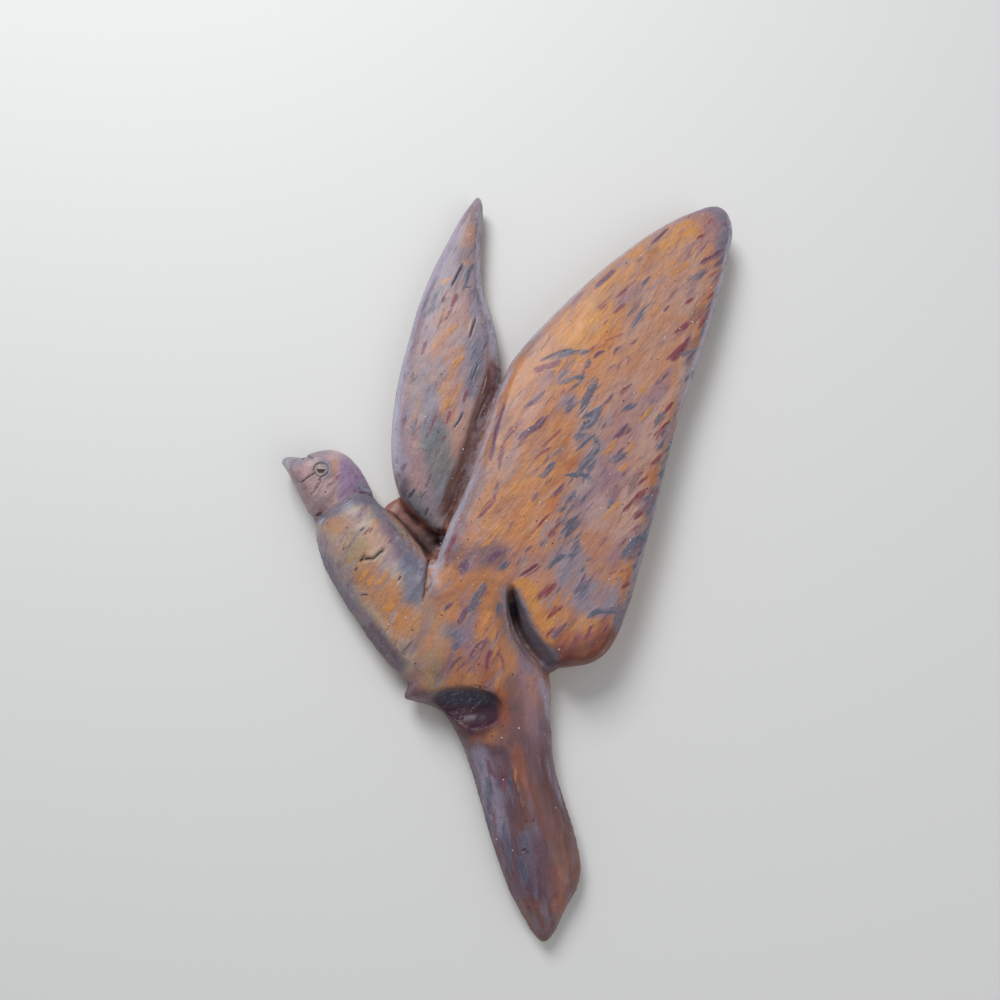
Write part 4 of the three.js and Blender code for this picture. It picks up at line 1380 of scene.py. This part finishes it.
class NodeBench:
    """Lays out the nodes of one material."""

    def __init__(self, material: bpy.types.Material) -> None:
        """Clear the material's nodes."""
        material.use_nodes = True
        self.tree = material.node_tree
        self.tree.nodes.clear()

    def node(
        self, kind: str, settings: dict | None = None, inputs: dict | None = None
    ) -> bpy.types.Node:
        """Add a node.

        Args:
            kind: Type of the node.
            settings: Its settings, which are made first.
            inputs: Numbers, colours, sockets or values for its inputs, by name or number.

        Returns:
            The node.
        """
        made = self.tree.nodes.new(kind)
        for name, value in (settings or {}).items():
            setattr(made, name, value)
        for name, value in (inputs or {}).items():
            source = value.socket if isinstance(value, Value) else value
            if isinstance(source, bpy.types.NodeSocket):
                self.tree.links.new(source, made.inputs[name])
            else:
                made.inputs[name].default_value = source
        return made

    def value(self, kind: str, settings: dict, inputs: dict) -> Value:
        """Add a node and take its first output as a value."""
        return Value(self, self.node(kind, settings, inputs).outputs[0])

    def attribute(self, name: str) -> Value:
        """A number painted on the mesh."""
        made = self.node("ShaderNodeAttribute", {"attribute_name": name})
        return Value(self, made.outputs["Fac"])

    def mix(self, share: Value | float, first: object, second: object) -> bpy.types.NodeSocket:
        """Blend two colours.

        Args:
            share: How much of the second colour.
            first: A colour or a colour socket.
            second: A colour or a colour socket.

        Returns:
            The colour socket.
        """
        inputs = {0: share, 6: opaque(first), 7: opaque(second)}
        return self.node("ShaderNodeMix", {"data_type": "RGBA"}, inputs).outputs[2]

    def scaled(self, colour: bpy.types.NodeSocket, factor: Value) -> bpy.types.NodeSocket:
        """Make a colour lighter or darker by a factor."""
        inputs = {0: colour, "Scale": factor}
        return self.node("ShaderNodeVectorMath", {"operation": "SCALE"}, inputs).outputs[0]

    def lean(self, degrees: float, length: float, width: float) -> bpy.types.NodeSocket:
        """Object coordinates measured along and across a direction.

        Args:
            degrees: Direction on the board, from +X.
            length: Millimetres to one unit along it.
            width: Millimetres to one unit across it.

        Returns:
            The vector socket.
        """
        coordinates = self.node("ShaderNodeTexCoord")
        inputs = {
            "Vector": coordinates.outputs["Object"],
            "Rotation": (0, 0, math.radians(degrees)),
            "Scale": (length * MM, width * MM, width * MM),
        }
        return self.node("ShaderNodeMapping", {"vector_type": "TEXTURE"}, inputs).outputs[0]

    def noise(self, size: float, detail: float) -> Value:
        """Cloudy noise, about 0.5."""
        inputs = {"Vector": self.lean(0, size, size), "Scale": 1.0, "Detail": detail}
        return self.value("ShaderNodeTexNoise", {}, inputs)

    def specks(self, degrees: float, size: float) -> Value:
        """Distance to the nearest of many scattered points."""
        inputs = {"Vector": self.lean(degrees, size, size), "Scale": 1.0}
        return self.value("ShaderNodeTexVoronoi", {}, inputs)

    def surface(self, inputs: dict) -> None:
        """Finish the material with one principled shader."""
        shader = self.node("ShaderNodeBsdfPrincipled", {}, inputs)
        self.node("ShaderNodeOutputMaterial", {}, {0: shader.outputs[0]})


def opaque(colour: object) -> object:
    """Give a plain colour its fourth number; leave a socket as it is."""
    if isinstance(colour, Pigment):
        colour = colour.linear()
    return (*colour, 1.0) if isinstance(colour, tuple) and len(colour) == 3 else colour


@dataclass(frozen=True)
class Paint:
    """One paint brushed over the stain: where it was laid and the two tones that it dries to."""

    layer: str
    thick: Pigment
    thin: Pigment
    cover: float


@dataclass(frozen=True)
class Figure:
    """The noises that the finish is made of: broad patches, dabs, fine hairs, clouds and grit."""

    patches: tuple[Value, Value, Value]
    dabs: tuple[Value, Value, Value]
    hairs: tuple[Value, Value, Value]
    cloud: Value
    grit: Value


@dataclass(frozen=True)
class StainedWood:
    """Wood rubbed with stains, brushed with paint and sealed with a satin varnish."""

    name: str = "stained_wood"
    wing_lean: float = 53.0
    slim_lean: float = 68.0
    tail_lean: float = 100.0
    roughness: float = 0.5
    sheen: float = 0.3
    varnish: float = 0.3
    varnish_roughness: float = 0.28
    relief: float = 0.2
    paints: tuple[Paint, ...] = (
        Paint("amber", Pigment.AMBER, Pigment.ORANGE, 0.8),
        Paint("crimson", Pigment.CRIMSON, Pigment.BERRY, 0.9),
        Paint("purple", Pigment.PURPLE, Pigment.MAUVE, 0.9),
        Paint("slate", Pigment.STEEL, Pigment.SMOKE, 0.9),
    )

    def by_area(
        self, bench: NodeBench, made: Callable[[float], bpy.types.NodeSocket]
    ) -> bpy.types.NodeSocket:
        """Lay a pattern along the direction in which each part was rubbed.

        Args:
            bench: Where the nodes go.
            made: Makes the pattern's colour for a direction in degrees.

        Returns:
            The colour socket.
        """
        upper = bench.mix(bench.attribute("far_wing"), made(self.wing_lean), made(self.slim_lean))
        return bench.mix(bench.attribute("tail"), upper, made(self.tail_lean))

    def streaks(
        self, bench: NodeBench, length: float, width: float, detail: float
    ) -> tuple[Value, Value, Value]:
        """Soft noise drawn out along the direction in which each part was rubbed.

        Args:
            bench: Where the nodes go.
            length: Length of a streak.
            width: Width of a streak.
            detail: How much finer noise it carries.

        Returns:
            Three values, each about 0.5.
        """

        def made(lean: float) -> bpy.types.NodeSocket:
            """The noise along one direction."""
            inputs = {"Scale": 1.0, "Detail": detail, "Distortion": 0.35}
            inputs["Vector"] = bench.lean(lean, length, width)
            return bench.node("ShaderNodeTexNoise", {}, inputs).outputs["Color"]

        parts = bench.node("ShaderNodeSeparateColor", {}, {0: self.by_area(bench, made)})
        return tuple(Value(bench, parts.outputs[k]) for k in range(3))

    def figure(self, bench: NodeBench) -> Figure:
        """Lay out the noises of the finish."""
        return Figure(
            self.streaks(bench, 8.5, 2.9, 1.5),
            self.streaks(bench, 3.4, 0.85, 0.6),
            self.streaks(bench, 1.6, 0.2, 2.5),
            bench.noise(1.3, 3.0),
            bench.noise(0.28, 2.0),
        )

    def stained(self, bench: NodeBench, figure: Figure) -> bpy.types.NodeSocket:
        """Rub stains over one another in soft patches.

        Args:
            bench: Where the nodes go.
            figure: The noises of the finish.

        Returns:
            The colour socket.
        """
        patch_a, patch_b, patch_c = figure.patches
        dab_a, dab_b, dab_c = figure.dabs
        warmth = bench.attribute("warmth")
        mottle = bench.attribute("mottle")
        colour = bench.node("ShaderNodeAttribute", {"attribute_name": "ground"}).outputs["Color"]
        veil = patch_b * 0.8 + dab_b * 0.2
        glow = patch_a * 0.75 + dab_a * 0.25
        shade = patch_c * 0.7 + dab_c * 0.3
        gloom = 1.0 - patch_a * 0.7 - dab_a * 0.3
        haze = 1.0 - (patch_b * 0.75 + dab_a * 0.25)
        slash = dab_c * 0.75 + figure.hairs[0] * 0.25
        rich = bench.mix(patch_c.step(0.5, 0.66), Pigment.APRICOT, Pigment.AMBER)
        for cover, stain in (
            (veil.step(0.48, 0.66) * (warmth * 0.35 + 0.15) * mottle, Pigment.BLUSH),
            (glow.step(0.44, 0.6) * warmth * 0.9, rich),
            (shade.step(0.52, 0.68) * mottle * 0.7, Pigment.MAUVE),
            ((1.0 - shade).step(0.53, 0.68) * warmth * 0.6, Pigment.RUST),
            (gloom.step(0.54, 0.7) * mottle * 0.55, Pigment.DUSK),
            (haze.step(0.55, 0.7) * mottle * 0.7, Pigment.SMOKE),
            (slash.step(0.64, 0.74) * mottle * 0.8, Pigment.PLUM),
        ):
            colour = bench.mix(cover, colour, stain)
        return colour

    def painted(
        self, bench: NodeBench, figure: Figure, colour: bpy.types.NodeSocket
    ) -> tuple[bpy.types.NodeSocket, Value]:
        """Brush the paints on, ragged where they run out, and let the grain show through.

        Args:
            bench: Where the nodes go.
            figure: The noises of the finish.
            colour: The stained wood's colour.

        Returns:
            The colour socket and how thick the paint lies.
        """
        dab_a, dab_b, dab_c = figure.dabs
        hair_a, hair_b, _ = figure.hairs
        _, patch_b, patch_c = figure.patches
        chances = (dab_b, dab_c, dab_a, patch_b * 0.5 + dab_c * 0.5)
        thickness: Value | float = 0.0
        for paint, chance in zip(self.paints, chances):
            laid = bench.attribute(paint.layer)
            ragged = chance.swing(1.3 - laid) + hair_a.swing(0.25)
            laid = laid + (laid * 5.0).clamped() * ragged
            thin = (1.0 - laid.step(0.4, 0.95)) * 0.7 + patch_c.swing(0.9) + dab_a.swing(0.9)
            cover = laid.step(0.4, 0.8) * paint.cover
            colour = bench.mix(cover, colour, bench.mix(thin.clamped(), paint.thick, paint.thin))
            thickness = cover + thickness
        grain = 1.0 + hair_b.swing(0.7) + figure.grit.swing(0.4)
        return bench.scaled(colour, grain), thickness

    def aged(
        self, bench: NodeBench, figure: Figure, colour: bpy.types.NodeSocket
    ) -> tuple[bpy.types.NodeSocket, Value, Value]:
        """Add wear with painted highlights on the rims, dirt with painted shade in the hollows,
        dark marks with painted shade in the cuts, pits and painted glints of the varnish.

        Args:
            bench: Where the nodes go.
            figure: The noises of the finish.
            colour: The painted wood's colour.

        Returns:
            The colour socket, the height of pits and glints, and what is added to the roughness.
        """
        hair_a, hair_b, hair_c = figure.hairs
        cloud, grit = figure.cloud, figure.grit
        pale = bench.attribute("pale")
        soot = bench.attribute("soot")
        ragged = figure.dabs[1].swing(1.2) + hair_c.swing(0.6) + grit.swing(0.6)
        # Rims rubbed pale and lit as painted highlights, blue-white where palest.
        rubbed_and_lit = (pale + ragged).step(0.3, 1.0)
        wear_and_highlight = bench.mix((pale * 1.6 - 0.9).clamped(), Pigment.LAVENDER, Pigment.BONE)
        dirt = (0.4 - hair_b).clamped() * 2.2 + (0.4 - grit).clamped() * 0.9
        # Dark marks, with the painted shade in the cuts and the eye's grooves.
        dark_marks_and_shade = (bench.attribute("marks_and_groove_shade") + hair_a.swing(0.5)).step(0.35, 0.75)
        pitted = (cloud - 0.56).clamped() * 16.0
        pits = ((0.15 - bench.specks(0, 0.9)).step(0.0, 0.05) * pitted).clamped()
        # Painted highlights: small glints of the varnish, more where the rims are pale.
        glint_density = ((0.43 - cloud).clamped() * 18.0 + (pale - 0.35).clamped() * 1.2).clamped()
        glints = (0.14 + pale * 0.06 - bench.specks(33, 1.0)).step(0.0, 0.05) * glint_density
        for cover, tone in (
            (rubbed_and_lit * 0.75, wear_and_highlight),
            (dirt.clamped() * 0.4, Pigment.CHARCOAL),
            (dark_marks_and_shade * 0.9, Pigment.SOOT),
            # Dirt and painted shade in the hollows.
            ((soot + grit.swing(0.3)).clamped() * 0.85, Pigment.SOOT),
            (pits * 0.85, Pigment.SOOT),
            (glints * 0.8, Pigment.GLINT),
        ):
            colour = bench.mix(cover, colour, tone)
        return colour, glints * 0.4 - pits * 0.6, soot * 0.3 - rubbed_and_lit * 0.12

    def make(self) -> bpy.types.Material:
        """Build the material.

        Returns:
            The material.
        """
        material = bpy.data.materials.new(self.name)
        bench = NodeBench(material)
        figure = self.figure(bench)
        colour, thickness = self.painted(bench, figure, self.stained(bench, figure))
        colour, marks, dullness = self.aged(bench, figure, colour)
        grooves = figure.hairs[0] * 0.2 + figure.dabs[0] * 0.5 + figure.grit * 0.1 + figure.cloud
        height = grooves + thickness * 0.3 + marks
        relief = {"Strength": 1.0, "Distance": self.relief * MM, "Height": height}
        bump = bench.node("ShaderNodeBump", {}, relief)
        gloss = figure.cloud.swing(0.3) + self.roughness + dullness
        bench.surface(
            {
                "Base Color": colour,
                "Roughness": gloss.clamped(),
                "Specular IOR Level": self.sheen,
                "Normal": bump.outputs[0],
                "Coat Weight": self.varnish,
                "Coat Roughness": self.varnish_roughness,
            }
        )
        return material


@dataclass(frozen=True)
class PaleTable:
    """The plain pale surface that the bird lies on."""

    name: str = "pale_table"
    width: float = 1400.0
    colour: tuple[float, float, float] = (0.78, 0.77, 0.75)
    roughness: float = 0.7

    def build(self) -> bpy.types.Object:
        """Make the table top.

        Returns:
            The table top.
        """
        work = bmesh.new()
        bmesh.ops.create_grid(work, x_segments=2, y_segments=2, size=self.width / 2 * MM)
        mesh = bpy.data.meshes.new(self.name)
        work.to_mesh(mesh)
        work.free()
        table = bpy.data.objects.new(self.name, mesh)
        bpy.context.scene.collection.objects.link(table)
        material = bpy.data.materials.new(self.name)
        bench = NodeBench(material)
        bench.surface({"Base Color": opaque(self.colour), "Roughness": self.roughness})
        mesh.materials.append(material)
        return table


@dataclass(frozen=True)
class SoftLamp:
    """One soft box of the studio."""

    name: str
    place: tuple[float, float, float]
    width: float
    watts: float
    colour: tuple[float, float, float] = (1.0, 1.0, 1.0)

    def build(self) -> None:
        """Hang the lamp and aim it at the bird."""
        lamp = bpy.data.lights.new(self.name, "AREA")
        lamp.size = self.width * MM
        lamp.energy = self.watts
        lamp.color = self.colour
        holder = bpy.data.objects.new(self.name, lamp)
        holder.location = Vector(self.place) * MM
        holder.rotation_euler = (-holder.location).to_track_quat("-Z", "Y").to_euler()
        bpy.context.scene.collection.objects.link(holder)


@dataclass
class Studio:
    """The soft light and the camera."""

    lamps: tuple[SoftLamp, ...] = (
        SoftLamp("window_lamp", (-110, 250, 300), 180, 1.15, (0.96, 0.98, 1.0)),
        SoftLamp("fill_lamp", (240, -160, 300), 300, 0.3),
    )
    daylight: tuple[float, float, float] = (0.92, 0.95, 1.0)
    daylight_strength: float = 0.3
    camera_place: tuple[float, float, float] = EYE_PLACE
    camera_tilt: float = 12.0
    lens: float = 30.6

    def build(self) -> None:
        """Light the table and place the camera."""
        scene = bpy.context.scene
        scene.view_settings.view_transform = "Standard"
        world = bpy.data.worlds.new("studio_air")
        world.use_nodes = True
        air = world.node_tree.nodes["Background"]
        air.inputs[0].default_value = (*self.daylight, 1)
        air.inputs[1].default_value = self.daylight_strength
        scene.world = world
        for lamp in self.lamps:
            lamp.build()
        lens = bpy.data.cameras.new("camera")
        lens.lens = self.lens
        lens.sensor_width = 36.0
        lens.clip_start = 1 * MM
        camera = bpy.data.objects.new("camera", lens)
        camera.location = Vector(self.camera_place) * MM
        camera.rotation_euler = (math.radians(self.camera_tilt), 0, 0)
        scene.collection.objects.link(camera)
        scene.camera = camera


@dataclass
class BirdCarving:
    """The bird itself: one piece of wood, carved, painted and sealed."""

    skin: Skin = field(default_factory=Skin)
    finish: StainedWood = field(default_factory=StainedWood)

    def build(self, node: bpy.types.Object) -> bpy.types.Object:
        """Make the carved and painted piece that stands for the solid.

        Args:
            node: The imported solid.

        Returns:
            The piece.
        """
        piece = self.skin.fine_mesh(node)
        self.skin.refine(piece.data)
        surface = CarvedSurface(piece.data)
        self.skin.carve(surface)
        Painter(surface).paint()
        piece.data.materials.clear()
        piece.data.materials.append(self.finish.make())
        piece.data.polygons.foreach_set("use_smooth", [True] * len(piece.data.polygons))
        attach(piece, BODY)
        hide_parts(CAD_NODE)
        return piece


def main() -> None:
    """Build the scene."""
    Studio().build()
    table = PaleTable().build()
    log.info("stage: %s", table.name)
    piece = BirdCarving().build(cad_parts[CAD_NODE])
    log.info("piece: %s, %d faces", piece.name, len(piece.data.polygons))


if __name__ == "__main__":
    main()
